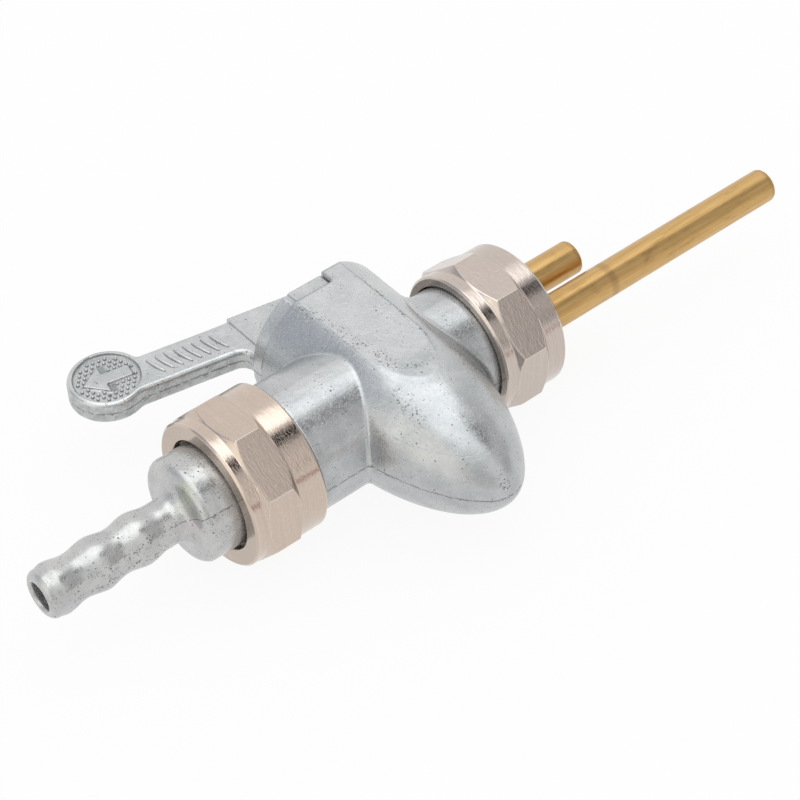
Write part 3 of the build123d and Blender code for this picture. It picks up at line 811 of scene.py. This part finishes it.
# %% [markdown]
# ## Cast skins
#
# The construction's castings are exact, with ideal faces and knife edges. A real casting is never
# quite flat, and its edges are soft. So the body and the lever get a finer skin: a copy of the
# node is merged, turned into an even net of small quads by a voxel remesh, and drawn back onto the
# exact surface. The net is then pushed in by a few hundredths of a millimetre in slow waves,
# outside only, so that bores and mating faces keep their size.

# %% Cast skins
MERGE_DISTANCE = 2e-6
BODY_VOXEL = 0.33 * MM
LEVER_VOXEL = 0.20 * MM
FACET_HEIGHT, FACET_SOFTNESS = 13.1, 0.4
NOSE_START, SLOT_WIDTH, NOSE_SLOTS = -36, 0.3, 240  # slots along the plug axis that measure the nose
WAVE_LIMIT = 1.4  # waves are cut off at this many times their usual size
BODY_SINK, BODY_WAVE = 0.05, 0.02  # mean depth and waves in mm


def cast_skin(node, voxel):
    """The node's surface as an even net of quads that lies on it."""
    copied = nodes[node].data.copy()
    work = bmesh.new()
    work.from_mesh(copied)
    bmesh.ops.remove_doubles(work, verts=work.verts, dist=MERGE_DISTANCE)
    work.to_mesh(copied)
    work.free()
    piece = new_object(node + "_net", copied)
    net = piece.modifiers.new("net", "REMESH")
    net.mode, net.voxel_size, net.use_smooth_shade = "VOXEL", voxel, True
    drawn = piece.modifiers.new("drawn", "SHRINKWRAP")
    drawn.target, drawn.wrap_method = nodes[node], "NEAREST_SURFACEPOINT"
    graph = bpy.context.evaluated_depsgraph_get()
    mesh = bpy.data.meshes.new_from_object(piece.evaluated_get(graph), depsgraph=graph)
    bpy.data.objects.remove(piece)
    mesh.name = node + "_skin"
    return mesh


def read_points(mesh):
    """The points in mm from the plug axis, and the normals."""
    points, normals = (np.empty(3 * len(mesh.vertices), np.float32) for _ in range(2))
    mesh.vertices.foreach_get("co", points)
    mesh.vertices.foreach_get("normal", normals)
    points = points.reshape(-1, 3).astype(float) / MM - np.array([PLUG_X / MM, 0.0, 0.0])
    return points, normals.reshape(-1, 3).astype(float)


def write_points(mesh, points_mm):
    """Puts points in mm from the plug axis back into the mesh."""
    mesh.vertices.foreach_set("co", to_frame(points_mm).astype(np.float32).ravel())
    mesh.update()
    mesh.shade_smooth()


def outside_body(points):
    """1 on the casting's open outside, 0 in its bores, under the nuts and on its rear face."""
    x, y, z = points.T
    bored = (np.hypot(x, z) < 9.7) & (y > -19.4)
    piped = np.hypot(y, z) < 8.2
    ends = smooth_step(x, -22.2, -20.5) * smooth_step(-x, -15.5, -14.0) * smooth_step(-y, -15.6, -14.6)
    return np.where(bored | piped, 0.0, ends)


def facet_fade(points):
    """How far the facet's nose end sinks: it meets the round nose in a minimum with a soft corner."""
    x, y, z = points.T
    below = (z < 0) & (np.abs(x) < 8)
    slot = np.clip(((y - NOSE_START) / SLOT_WIDTH).astype(int), 0, NOSE_SLOTS - 1)
    radius = np.zeros(NOSE_SLOTS)
    np.maximum.at(radius, slot[below], np.hypot(x, z)[below])
    stations = NOSE_START + SLOT_WIDTH * (np.arange(NOSE_SLOTS) + 0.5)
    nose = np.sqrt(np.clip(np.interp(y, stations, radius) ** 2 - x**2, 0, None))
    size = 0.03 + FACET_SOFTNESS * smooth_step(-y, 3.0, 9.0)
    share = np.clip(0.5 + 0.5 * (FACET_HEIGHT - nose) / size, 0, 1)
    return np.where((z > 9) & (y < 0), size * share * (1 - share), 0.0)


body_skin = cast_skin("tap_body", BODY_VOXEL)
points, normals = read_points(body_skin)
waves = 0.6 * plane_waves(points, 9.0, seed=4) + 0.4 * plane_waves(points, 3.2, seed=5)
sunk = outside_body(points) * (BODY_SINK - BODY_WAVE * np.clip(waves, -WAVE_LIMIT, WAVE_LIMIT))
moved = points - normals * sunk[:, None]
moved[:, 2] -= facet_fade(points)
write_points(body_skin, moved)
facing = read_points(body_skin)[1]
set_attribute(body_skin, "facing_x", facing[:, 0])
set_attribute(body_skin, "facing_z", facing[:, 2])
add_piece("body_casting", body_skin, zinc_body, "tap_body")
print("deepest", round(float(sunk.max()), 3), "mm")

# %% [markdown]
# ## The lever and its relief
#
# The lever is the same kind of casting. Its round end has a dish with a raised arrow on a floor of
# small domes, and the flat of its arm has raised slanted ribs for the finger. Domes and ribs are
# small closed ellipsoids, set half into the metal, all made in one array.

# %% Lever skin
ARM_SLOPE = np.radians(11.1)  # the arm leans back from the pipe axis
ARM_HALF = 2.2  # half the arm's thickness
END_ALONG, END_ACROSS = 36.0, 1.7  # middle of the round end, along and across the arm
ARM_Y = 23.38  # where the arm's middle line crosses the plug axis
DISH_RADIUS, DISH_DEPTH = 5.9, 0.55
ARROW_HALF, ARROW_NECK, ARROW_HEAD, ARROW_BAR = 4.4, -0.5, 3.3, 1.3
DOME_PITCH, DOME_RADIUS, DOME_HEIGHT = 1.10, 0.33, 0.36
RIB_ALONG = np.linspace(15.6, 27.6, 8)
RIB_HALF = np.array([0.36, 2.35, 0.32])  # half width, half length, height
RIB_TURN = np.radians(24.0)
DISC_RADIUS = 13.8
LEVER_SINK, LEVER_WAVE = 0.045, 0.028
STOP_INNER, STOP_END, STOP_SHIFT = 11.9, 365.0, 2.3  # the raised rim's end near the body's lug
RIM_NICKS = ((335.0, 0.42, 1.4), (350.0, 0.12, 1.0), (357.0, 0.12, 1.0))  # degrees, depth, half width


def from_arm(along, across, height):
    """Points along and across the arm to points from the plug axis."""
    x = -along * np.cos(ARM_SLOPE) + across * np.sin(ARM_SLOPE)
    y = ARM_Y + along * np.sin(ARM_SLOPE) + across * np.cos(ARM_SLOPE)
    return np.stack([x, y, height * np.ones_like(x)], -1)


def to_arm(points):
    """Points from the plug axis to places along and across the arm."""
    x, y = points[:, 0], points[:, 1] - ARM_Y
    return -x * np.cos(ARM_SLOPE) + y * np.sin(ARM_SLOPE), x * np.sin(ARM_SLOPE) + y * np.cos(ARM_SLOPE)


def arrow_distance(a, v):
    """Distance outside the arrow, roughly, from the place along it and across it."""
    half_head = ARROW_HEAD * (a - ARROW_HALF) / (ARROW_NECK - ARROW_HALF)
    head = np.maximum(ARROW_NECK - a, 0.83 * (np.abs(v) - half_head))
    bar = np.maximum(np.maximum(np.abs(v) - ARROW_BAR, -ARROW_HALF - a), a - ARROW_NECK)
    return np.minimum(head, bar)


def lever_shade_and_dirt(points, normals):
    """Where dirt keeps and painted shade falls: the dish's floor and corners, the foot of the arrow, the rough
    side walls.
    """
    along, across = to_arm(points)
    u, v = along - END_ALONG, across - END_ACROSS
    reach = np.hypot(u, v)
    side = np.sign(points[:, 2])
    floor = (reach < DISH_RADIUS + 0.1) & (np.abs(points[:, 2]) < ARM_HALF - DISH_DEPTH + 0.15)
    foot = 1 - smooth_step(arrow_distance(u * side, v), 0.05, 0.45)
    on_floor = floor * np.clip(0.12 + 0.75 * foot + 0.7 * smooth_step(reach, 5.4, 5.85), 0, 1)
    wall = (1 - smooth_step(np.abs(normals[:, 2]), 0.25, 0.6)) * smooth_step(along, 13.0, 16.0)
    rough = 0.24 + 0.22 * plane_waves(points, 1.6, seed=31) + 0.18 * plane_waves(points, 0.7, seed=32)
    return np.clip(np.maximum(on_floor, wall * rough), 0, 1)


def rim_nicks(points):
    """Small dents in the disc's rim, by angle about the plug axis."""
    angle = np.degrees(np.arctan2(points[:, 0], points[:, 2])) % 360
    rim = smooth_step(np.hypot(points[:, 0], points[:, 2]), DISC_RADIUS - 1.2, DISC_RADIUS - 0.4)
    return sum(depth * rim * np.exp(-(((angle - at) / width) ** 2)) for at, depth, width in RIM_NICKS)


def rim_reach(points):
    """The raised rim's end carried round towards the lug, as turned points."""
    x, y, z = points.T
    reach, angle = np.hypot(x, z), np.degrees(np.arctan2(x, z)) % 360
    angle = np.where(angle < 90, angle + 360, angle)
    share = smooth_step(angle, STOP_END - 8, STOP_END) * (angle < STOP_END + 2) * (reach > STOP_INNER)
    turned = np.radians(angle + STOP_SHIFT * share)
    return np.stack([reach * np.sin(turned), y, reach * np.cos(turned)], -1)


lever_skin = cast_skin("lever", LEVER_VOXEL)
points, normals = read_points(lever_skin)
waves = 0.5 * plane_waves(points, 6.0, seed=8) + 0.5 * plane_waves(points, 2.4, seed=9)
open_arm = smooth_step(-points[:, 0], 12.0, 15.0)
sunk = open_arm * (LEVER_SINK - LEVER_WAVE * np.clip(waves, -WAVE_LIMIT, WAVE_LIMIT))
moved = rim_reach(points - normals * sunk[:, None])
moved[:, [0, 2]] *= 1 - (rim_nicks(points) / DISC_RADIUS)[:, None]
write_points(lever_skin, moved)
# dirt and painted shade in the dish, at the foot of the arrow and on the side walls
set_attribute(lever_skin, "shade_and_dirt", lever_shade_and_dirt(points, normals))
add_piece("lever_casting", lever_skin, zinc_lever, "lever")

# %% Domes and ribs


def ellipsoids(centers, half_sizes, turn, rings=5, around=10, power=1.0):
    """Closed ellipsoids: sin and cos of two angles times the half sizes, turned about Z, at each centre."""
    tilt = np.linspace(0, np.pi, rings + 2)[1:-1]
    angle = np.arange(around) * 2 * np.pi / around
    round_part = np.stack(
        [
            np.outer(np.sin(tilt) ** power, np.cos(angle)),
            np.outer(np.sin(tilt) ** power, np.sin(angle)),
            np.outer(np.cos(tilt), np.ones(around)),
        ],
        -1,
    ).reshape(-1, 3)
    unit = np.vstack([[0.0, 0.0, 1.0], round_part, [0.0, 0.0, -1.0]]) * half_sizes
    c, s = np.cos(turn), np.sin(turn)
    unit = unit @ np.array([[c, s, 0.0], [-s, c, 0.0], [0.0, 0.0, 1.0]])
    points = (np.asarray(centers)[:, None] + unit[None]).reshape(-1, 3)
    k = np.arange(around)
    after = (k + 1) % around
    faces = [np.stack([np.zeros(around, int), 1 + k, 1 + after], -1).tolist()]
    for ring in range(rings - 1):
        low = 1 + ring * around
        faces.append(np.stack([low + k, low + around + k, low + around + after, low + after], -1).tolist())
    last = 1 + (rings - 1) * around
    faces.append(np.stack([last + k, np.full(around, len(unit) - 1), last + after], -1).tolist())
    one = [face for group in faces for face in group]
    shift = len(unit) * np.arange(len(centers))
    every = [[corner + int(move) for corner in face] for move in shift for face in one]
    return points, every


def dome_places(side):
    """Staggered rows of dome centres in the dish, clear of its wall and of the arrow."""
    rows = np.arange(-6, 7)
    u, v = np.meshgrid(rows * DOME_PITCH, rows * DOME_PITCH * np.sqrt(3) / 2, indexing="ij")
    u = u + np.where(np.arange(13) % 2, DOME_PITCH / 2, 0.0)[None]
    u, v = u.ravel(), v.ravel()
    inside = np.hypot(u, v) < DISH_RADIUS - 0.45
    keep = inside & (arrow_distance(u * side, v) > DOME_RADIUS + 0.1)
    floor = side * (ARM_HALF - DISH_DEPTH)
    return from_arm(END_ALONG + u[keep], END_ACROSS + v[keep], floor)


def add_relief(name, centers, half_sizes, turn, **detail):
    """One piece of many small closed ellipsoids."""
    points, faces = ellipsoids(centers, half_sizes, turn, **detail)
    lift = np.abs(points.reshape(len(centers), -1, 3)[..., 2] - centers[:, None, 2]) / half_sizes[2]
    mesh = bpy.data.meshes.new(name)
    mesh.from_pydata(to_frame(points).tolist(), [], faces)
    mesh.shade_smooth()
    # darker at the foot of each dome and rib: dirt and painted shade where it meets the metal
    set_attribute(mesh, "shade_and_dirt", 1 - smooth_step(lift, 0.15, 0.55))
    add_piece(name, mesh, zinc_lever, "lever", replaced=False)


for side, label in ((1, "upper"), (-1, "lower")):
    add_relief(f"dish_domes_{label}", dome_places(side), (DOME_RADIUS, DOME_RADIUS, DOME_HEIGHT), 0.0)
rib_places = from_arm(RIB_ALONG, np.zeros_like(RIB_ALONG), ARM_HALF - 0.03)
add_relief("arm_ribs", rib_places, RIB_HALF, ARM_SLOPE * -1 + RIB_TURN, rings=9, around=24, power=0.6)

# %% [markdown]
# ## Union nuts
#
# A union nut is a round bar with eight flats milled in its middle. Its outside is a distance from
# the pipe axis that depends on the place along it and on the angle: the least of the flats and of
# two cones that run out to the round collars. A minimum with a small round corner gives the worn
# edges. The bore is the same section carried on, with a groove that winds one pitch each turn.

# %% Nut sizes
ACROSS_FLATS = 27.0
SIDES = 8
BORE, PITCH, GROOVE = 11.70, 1.0, 0.52
EDGE_ROUND, CHAMFER, REAR_RUNOUT = 0.06, 0.4, 1.2
FACE_EDGE = 0.08  # from the chamfer to the first ring on a face
STEPS_PER_SIDE = 38
NUTS = {
    "outlet_union_nut": {
        "clocking": 27.0, "length": 14.4, "full": 3.4, "flat": 4.5, "scallop": 1.05,
        "front_collar": 13.3, "rear_collar": 13.45, "lip": 2.5, "hole": 10.1,
    },
    "tank_union_nut": {
        "clocking": 18.6, "length": 13.4, "full": 3.5, "flat": 4.55, "scallop": 1.1,
        "front_collar": 13.4, "rear_collar": 13.44, "lip": 0.0, "hole": 11.70,
    },
}


def soft_min(a, b, size):
    """The lesser of two values, with a round corner of about this size where they meet."""
    share = np.clip(0.5 + 0.5 * (b - a) / size, 0, 1)
    return b * (1 - share) + a * share - size * share * (1 - share)


def nut_angles(clocking):
    """Angles round the nut, closer together at the corners of the flats."""
    u = np.linspace(-1, 1, STEPS_PER_SIDE, endpoint=False)
    within = np.pi / SIDES * (1.5 * u - 0.5 * u**3)
    middles = np.radians(clocking + 180 / SIDES) + np.arange(SIDES) * 2 * np.pi / SIDES
    return (middles[:, None] + within[None]).ravel(), np.tile(within, SIDES)


def outer_radius(x, within, nut):
    """Radius of the nut's outside at each place along it and angle from the middle of a flat."""
    corner = ACROSS_FLATS / 2 / np.cos(np.pi / SIDES)
    flat = ACROSS_FLATS / 2 / np.cos(within)
    rise, fall = corner - nut["front_collar"], corner - nut["rear_collar"]
    front = nut["front_collar"] + rise * (x - nut["full"] + nut["scallop"]) / nut["scallop"]
    rear = corner - fall * (x - nut["full"] - nut["flat"]) / REAR_RUNOUT
    cut = soft_min(soft_min(flat, front, EDGE_ROUND), rear, EDGE_ROUND)
    collar = np.where(x < nut["full"] + nut["flat"], nut["front_collar"], nut["rear_collar"])
    body = -soft_min(-cut, -collar, EDGE_ROUND)
    return body, flat, front, rear


def rings(values):
    """One value per ring of the nut, given to each point of the ring."""
    return np.repeat(np.asarray(values)[:, None], STEPS_PER_SIDE * SIDES, 1)


def nut_surface(nut):
    """The nut's closed section carried round the pipe axis: outside, rear face, bore, front face."""
    length, lip, hole = nut["length"], nut["lip"], nut["hole"]
    angles, within = nut_angles(nut["clocking"])
    front_x, rear_x = np.linspace(0, CHAMFER, 5)[:-1], np.linspace(length - CHAMFER, length, 5)[1:]
    out_x = np.concatenate([front_x, np.linspace(CHAMFER, length - CHAMFER, 96), rear_x])
    body, flat, front, rear = outer_radius(out_x[:, None], within[None], nut)
    trim = np.minimum(out_x, length - out_x)
    held = np.minimum(nut["front_collar"] - CHAMFER + out_x, nut["rear_collar"] - CHAMFER + length - out_x)
    outside = np.where((trim < CHAMFER)[:, None], np.minimum(body, held[:, None]), body)
    bore_x = np.linspace(length, lip, 92)
    turn = angles[None] / (2 * np.pi)
    wave = np.abs(((bore_x[:, None] / PITCH - turn) % 1.0) - 0.5) * 2
    mouth = smooth_step(bore_x, lip + 0.3, lip + 1.2)[:, None]
    bore = BORE + mouth * GROOVE * np.clip(1.35 * wave - 0.12, 0, 1)
    bore = np.maximum(bore, BORE + np.clip(0.6 - (length - bore_x), 0, None)[:, None])
    rear_r = np.linspace(nut["rear_collar"] - CHAMFER - FACE_EDGE, BORE + 0.68, 3)
    rows_x, rows_r = [out_x, np.full(3, length), bore_x], [outside, rings(rear_r), bore]
    if lip > 0:
        lip_x = np.array([lip, lip - 0.02, lip / 2, 0.25, 0.0])
        lip_r = np.array([hole + 0.02, hole, hole, hole, hole + 0.25])
        rows_x.append(lip_x)
        rows_r.append(rings(lip_r))
    face_r = np.linspace(hole + 0.33, nut["front_collar"] - CHAMFER - FACE_EDGE, 4)
    x, r = np.concatenate([*rows_x, np.zeros(4)]), np.concatenate([*rows_r, rings(face_r)])
    points = np.stack([rings(x), -r * np.cos(angles), r * np.sin(angles)], -1)
    # painted highlight: thin bright lines on the corners of the flats, where the flats meet the collars, and at
    # the chamfers
    edge_highlight = np.zeros_like(r)
    ridge = np.exp(-(((np.pi / SIDES - np.abs(within)) * ACROSS_FLATS / 2 / 0.08) ** 2))[None]
    on_flat = (flat < np.minimum(front, rear) + 0.05) * np.ones_like(body)
    rim = np.exp(-(((flat - np.minimum(front, rear)) / 0.04) ** 2))
    ends = np.exp(-(((trim - CHAMFER) / 0.08) ** 2))[:, None] * np.ones_like(body)
    edge_highlight[: len(out_x)] = np.clip(ridge * on_flat + 0.4 * rim + 0.4 * ends, 0, 1)
    # painted shade: darker in the bore and on the rear face, darkest on the front face
    shade_and_dirt = np.concatenate([np.zeros(len(out_x)), np.full(len(x) - len(out_x), 0.35)])
    shade_and_dirt[-4:] = 0.45
    return points, edge_highlight, rings(shade_and_dirt)


for name, nut in NUTS.items():
    points, edge_highlight, shade_and_dirt = nut_surface(nut)
    front_face = edge_x(name, 0)
    points[..., 0] += front_face
    mesh = make_mesh(name + "_turned", points)
    set_attribute(mesh, "painted_edge_highlight", edge_highlight)
    set_attribute(mesh, "shade_and_dirt", shade_and_dirt)
    add_piece(name + "_turned", mesh, nickel, name)

# %% [markdown]
# ## Hose nozzle
#
# The nozzle is cast, so its barbs are soft waves. Its section is drawn once as places along the
# pipe axis and distances from it, and carried round. The mould's two halves meet at mid height and
# leave a low ridge on both sides, and the whole surface is a little uneven.

# %% Hose nozzle
NOZZLE_STEPS = 200
NOZZLE_TIP = edge_x("hose_nozzle", 0)
FLANGE_BACK = edge_x("hose_nozzle", 1)
BARBS = [NOZZLE_TIP + 3.2 + 7.9 * k for k in range(3)]
BARB_RADIUS, VALLEY_RADIUS = 4.7, 4.12
SHOULDER_FACE = NOZZLE_TIP + 27.2
TIP_SHORT, TIP_ROUND, MOUTH_RADIUS = 0.3, 1.5, 2.95  # the cast tip is a little short, and round
SHOULDER_RADIUS, SHOULDER_ROUND, ROOT_ROUND = 9.5, 1.7, 2.6
FLANGE_RADIUS, FLANGE_THICK = 11.245, 2.2
NOZZLE_BORE = 2.55
NOZZLE_SINK, NOZZLE_WAVE, RIDGE_HEIGHT, RIDGE_WIDTH = 0.07, 0.035, 0.05, 0.22


def resample(corners, step):
    """Points at even distances along a section given by its corners."""
    corners = np.array(corners)
    run = np.concatenate([[0], np.cumsum(np.linalg.norm(np.diff(corners, axis=0), axis=1))])
    at = np.linspace(0, run[-1], max(2, int(np.ceil(run[-1] / step)) + 1))
    return np.stack([np.interp(at, run, corners[:, k]) for k in range(2)], -1)


def arc(middle, radius, start, end, count=14):
    """Points on an arc of a circle, with its angles in degrees."""
    a = np.radians(np.linspace(start, end, count))
    return np.stack([middle[0] + radius * np.cos(a), middle[1] + radius * np.sin(a)], -1)


def nozzle_section():
    """Outside from the tip over the barbs, shoulder and flange, then back through the bore."""
    tip = NOZZLE_TIP + TIP_SHORT
    tip_round = arc((tip + TIP_ROUND, MOUTH_RADIUS), TIP_ROUND, 176, 104, 14)
    wave_x = np.linspace(tip_round[-1, 0], SHOULDER_FACE - ROOT_ROUND, 150)
    half = BARBS[1] - BARBS[0]
    wave = 0.5 + 0.5 * np.cos(2 * np.pi * (wave_x - BARBS[0]) / half)
    height = VALLEY_RADIUS + (BARB_RADIUS - VALLEY_RADIUS) * wave
    height = np.where(wave_x > BARBS[2] + half / 2, VALLEY_RADIUS, height)
    start = smooth_step(wave_x, wave_x[0], BARBS[0])
    height = height * start + (1 - start) * np.maximum(tip_round[-1, 1], 0)
    root = arc((SHOULDER_FACE - ROOT_ROUND, VALLEY_RADIUS + ROOT_ROUND), ROOT_ROUND, -90, 0)
    crown = arc((SHOULDER_FACE + SHOULDER_ROUND, SHOULDER_RADIUS - SHOULDER_ROUND), SHOULDER_ROUND, 180, 90)
    flange_front = FLANGE_BACK - FLANGE_THICK
    outside = np.vstack([tip_round, np.stack([wave_x, height], -1)[1:], root, crown])
    rest = [
        (flange_front, SHOULDER_RADIUS),
        (flange_front, FLANGE_RADIUS),
        (FLANGE_BACK, FLANGE_RADIUS),
        (FLANGE_BACK, 6.0),
        (FLANGE_BACK - 8.0, NOZZLE_BORE),
        (tip + 0.4, NOZZLE_BORE),
        (tip + 0.06, NOZZLE_BORE + 0.25),
        tuple(tip_round[0]),
    ]
    return np.vstack([resample(outside, 0.22), resample([outside[-1], *rest], 0.30)[1:-1]])


def carried_round(section, steps):
    """Each point of a section (place, radius) turned about the pipe axis: (x, -r cos a, r sin a)."""
    angles = np.arange(steps) * 2 * np.pi / steps
    x, r = section[:, :1], section[:, 1:]
    return np.stack([x + 0 * angles, -r * np.cos(angles), r * np.sin(angles)], -1)


section = nozzle_section()
points = carried_round(section, NOZZLE_STEPS)
flat_points = points.reshape(-1, 3)
off_axis = np.hypot(flat_points[:, 1], flat_points[:, 2])
outside = (flat_points[:, 0] < FLANGE_BACK - FLANGE_THICK - 1.5) & (off_axis > 3.6)
uneven = 0.5 * plane_waves(flat_points, 5.0, seed=12) + 0.5 * plane_waves(flat_points, 1.8, seed=13)
seam = np.radians(NOZZLE_SEAM_TURN)
across_seam = flat_points[:, 2] * np.cos(seam) + flat_points[:, 1] * np.sin(seam)
ridge = RIDGE_HEIGHT * np.exp(-((across_seam / RIDGE_WIDTH) ** 2))
lift = outside * (NOZZLE_WAVE * np.clip(uneven, -WAVE_LIMIT, WAVE_LIMIT) - NOZZLE_SINK + ridge)
radial = flat_points * np.array([0.0, 1.0, 1.0])
radial /= np.linalg.norm(radial, axis=1, keepdims=True)
mesh = make_mesh("nozzle_casting", (flat_points + radial * lift[:, None]).reshape(points.shape))
add_piece("nozzle_casting", mesh, zinc_nozzle, "hose_nozzle")

# %% [markdown]
# ## Standpipes
#
# The tubes are drawn brass, sawn to length and rubbed over: their ends are a little out of square
# and the rims slightly round. A tube is one closed section, outside and bore, carried round, with
# faint flats along its length.

# %% Standpipes
TUBE_RADIUS, TUBE_WALL = 3.2, 0.6
SEATED_TURNING, TURNING_PAST = 0.2, 0.3
TUBE_STEPS, SAW_ERROR = 96, 0.05


def tube_section(start, shoulder, end):
    """The tube's wall: turned-down seat, shoulder, outside, rounded rim and bore."""
    inner, seated = TUBE_RADIUS - TUBE_WALL, TUBE_RADIUS - SEATED_TURNING
    rim = arc((end - 0.22, TUBE_RADIUS - 0.22), 0.22, 90, 0, 6)
    corners = [(start, inner), (start, seated - 0.15), (start + 0.15, seated)]
    corners += [(shoulder, seated), (shoulder, TUBE_RADIUS), *(tuple(point) for point in rim)]
    corners += [(end, inner + 0.12), (end - 0.12, inner), (start, inner)]
    return resample(corners, 0.35)[:-1]


shoulder = edge_x("tank_gasket", 1) + TURNING_PAST
for seed, name in enumerate(("main_standpipe", "reserve_standpipe")):
    low, high = (np.array(corner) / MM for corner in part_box(name))
    middle = (low + high) / 2
    start, end = low[0] - PLUG_X / MM, high[0] - PLUG_X / MM
    points = carried_round(tube_section(start, shoulder, end), TUBE_STEPS)
    free = smooth_step(points[..., 0], shoulder + 1.0, shoulder + 6.0)
    dents = plane_waves(points.reshape(-1, 3) * np.array([0.4, 1.0, 1.0]), 4.0, seed=20 + seed)
    shrink = 1 - free * (0.0035 + 0.0030 * np.clip(dents, -1, 1).reshape(free.shape))
    lean = (points[..., 1] - points[..., 2]) / TUBE_RADIUS + 1.5
    saw = SAW_ERROR * smooth_step(points[..., 0], end - 0.5, end) * lean
    points[..., 1:] *= shrink[..., None]
    points[..., 0] -= saw
    points[..., 1] += middle[1]
    points[..., 2] += middle[2]
    mesh = make_mesh(name + "_drawn", points)
    add_piece(name + "_drawn", mesh, brass, name)
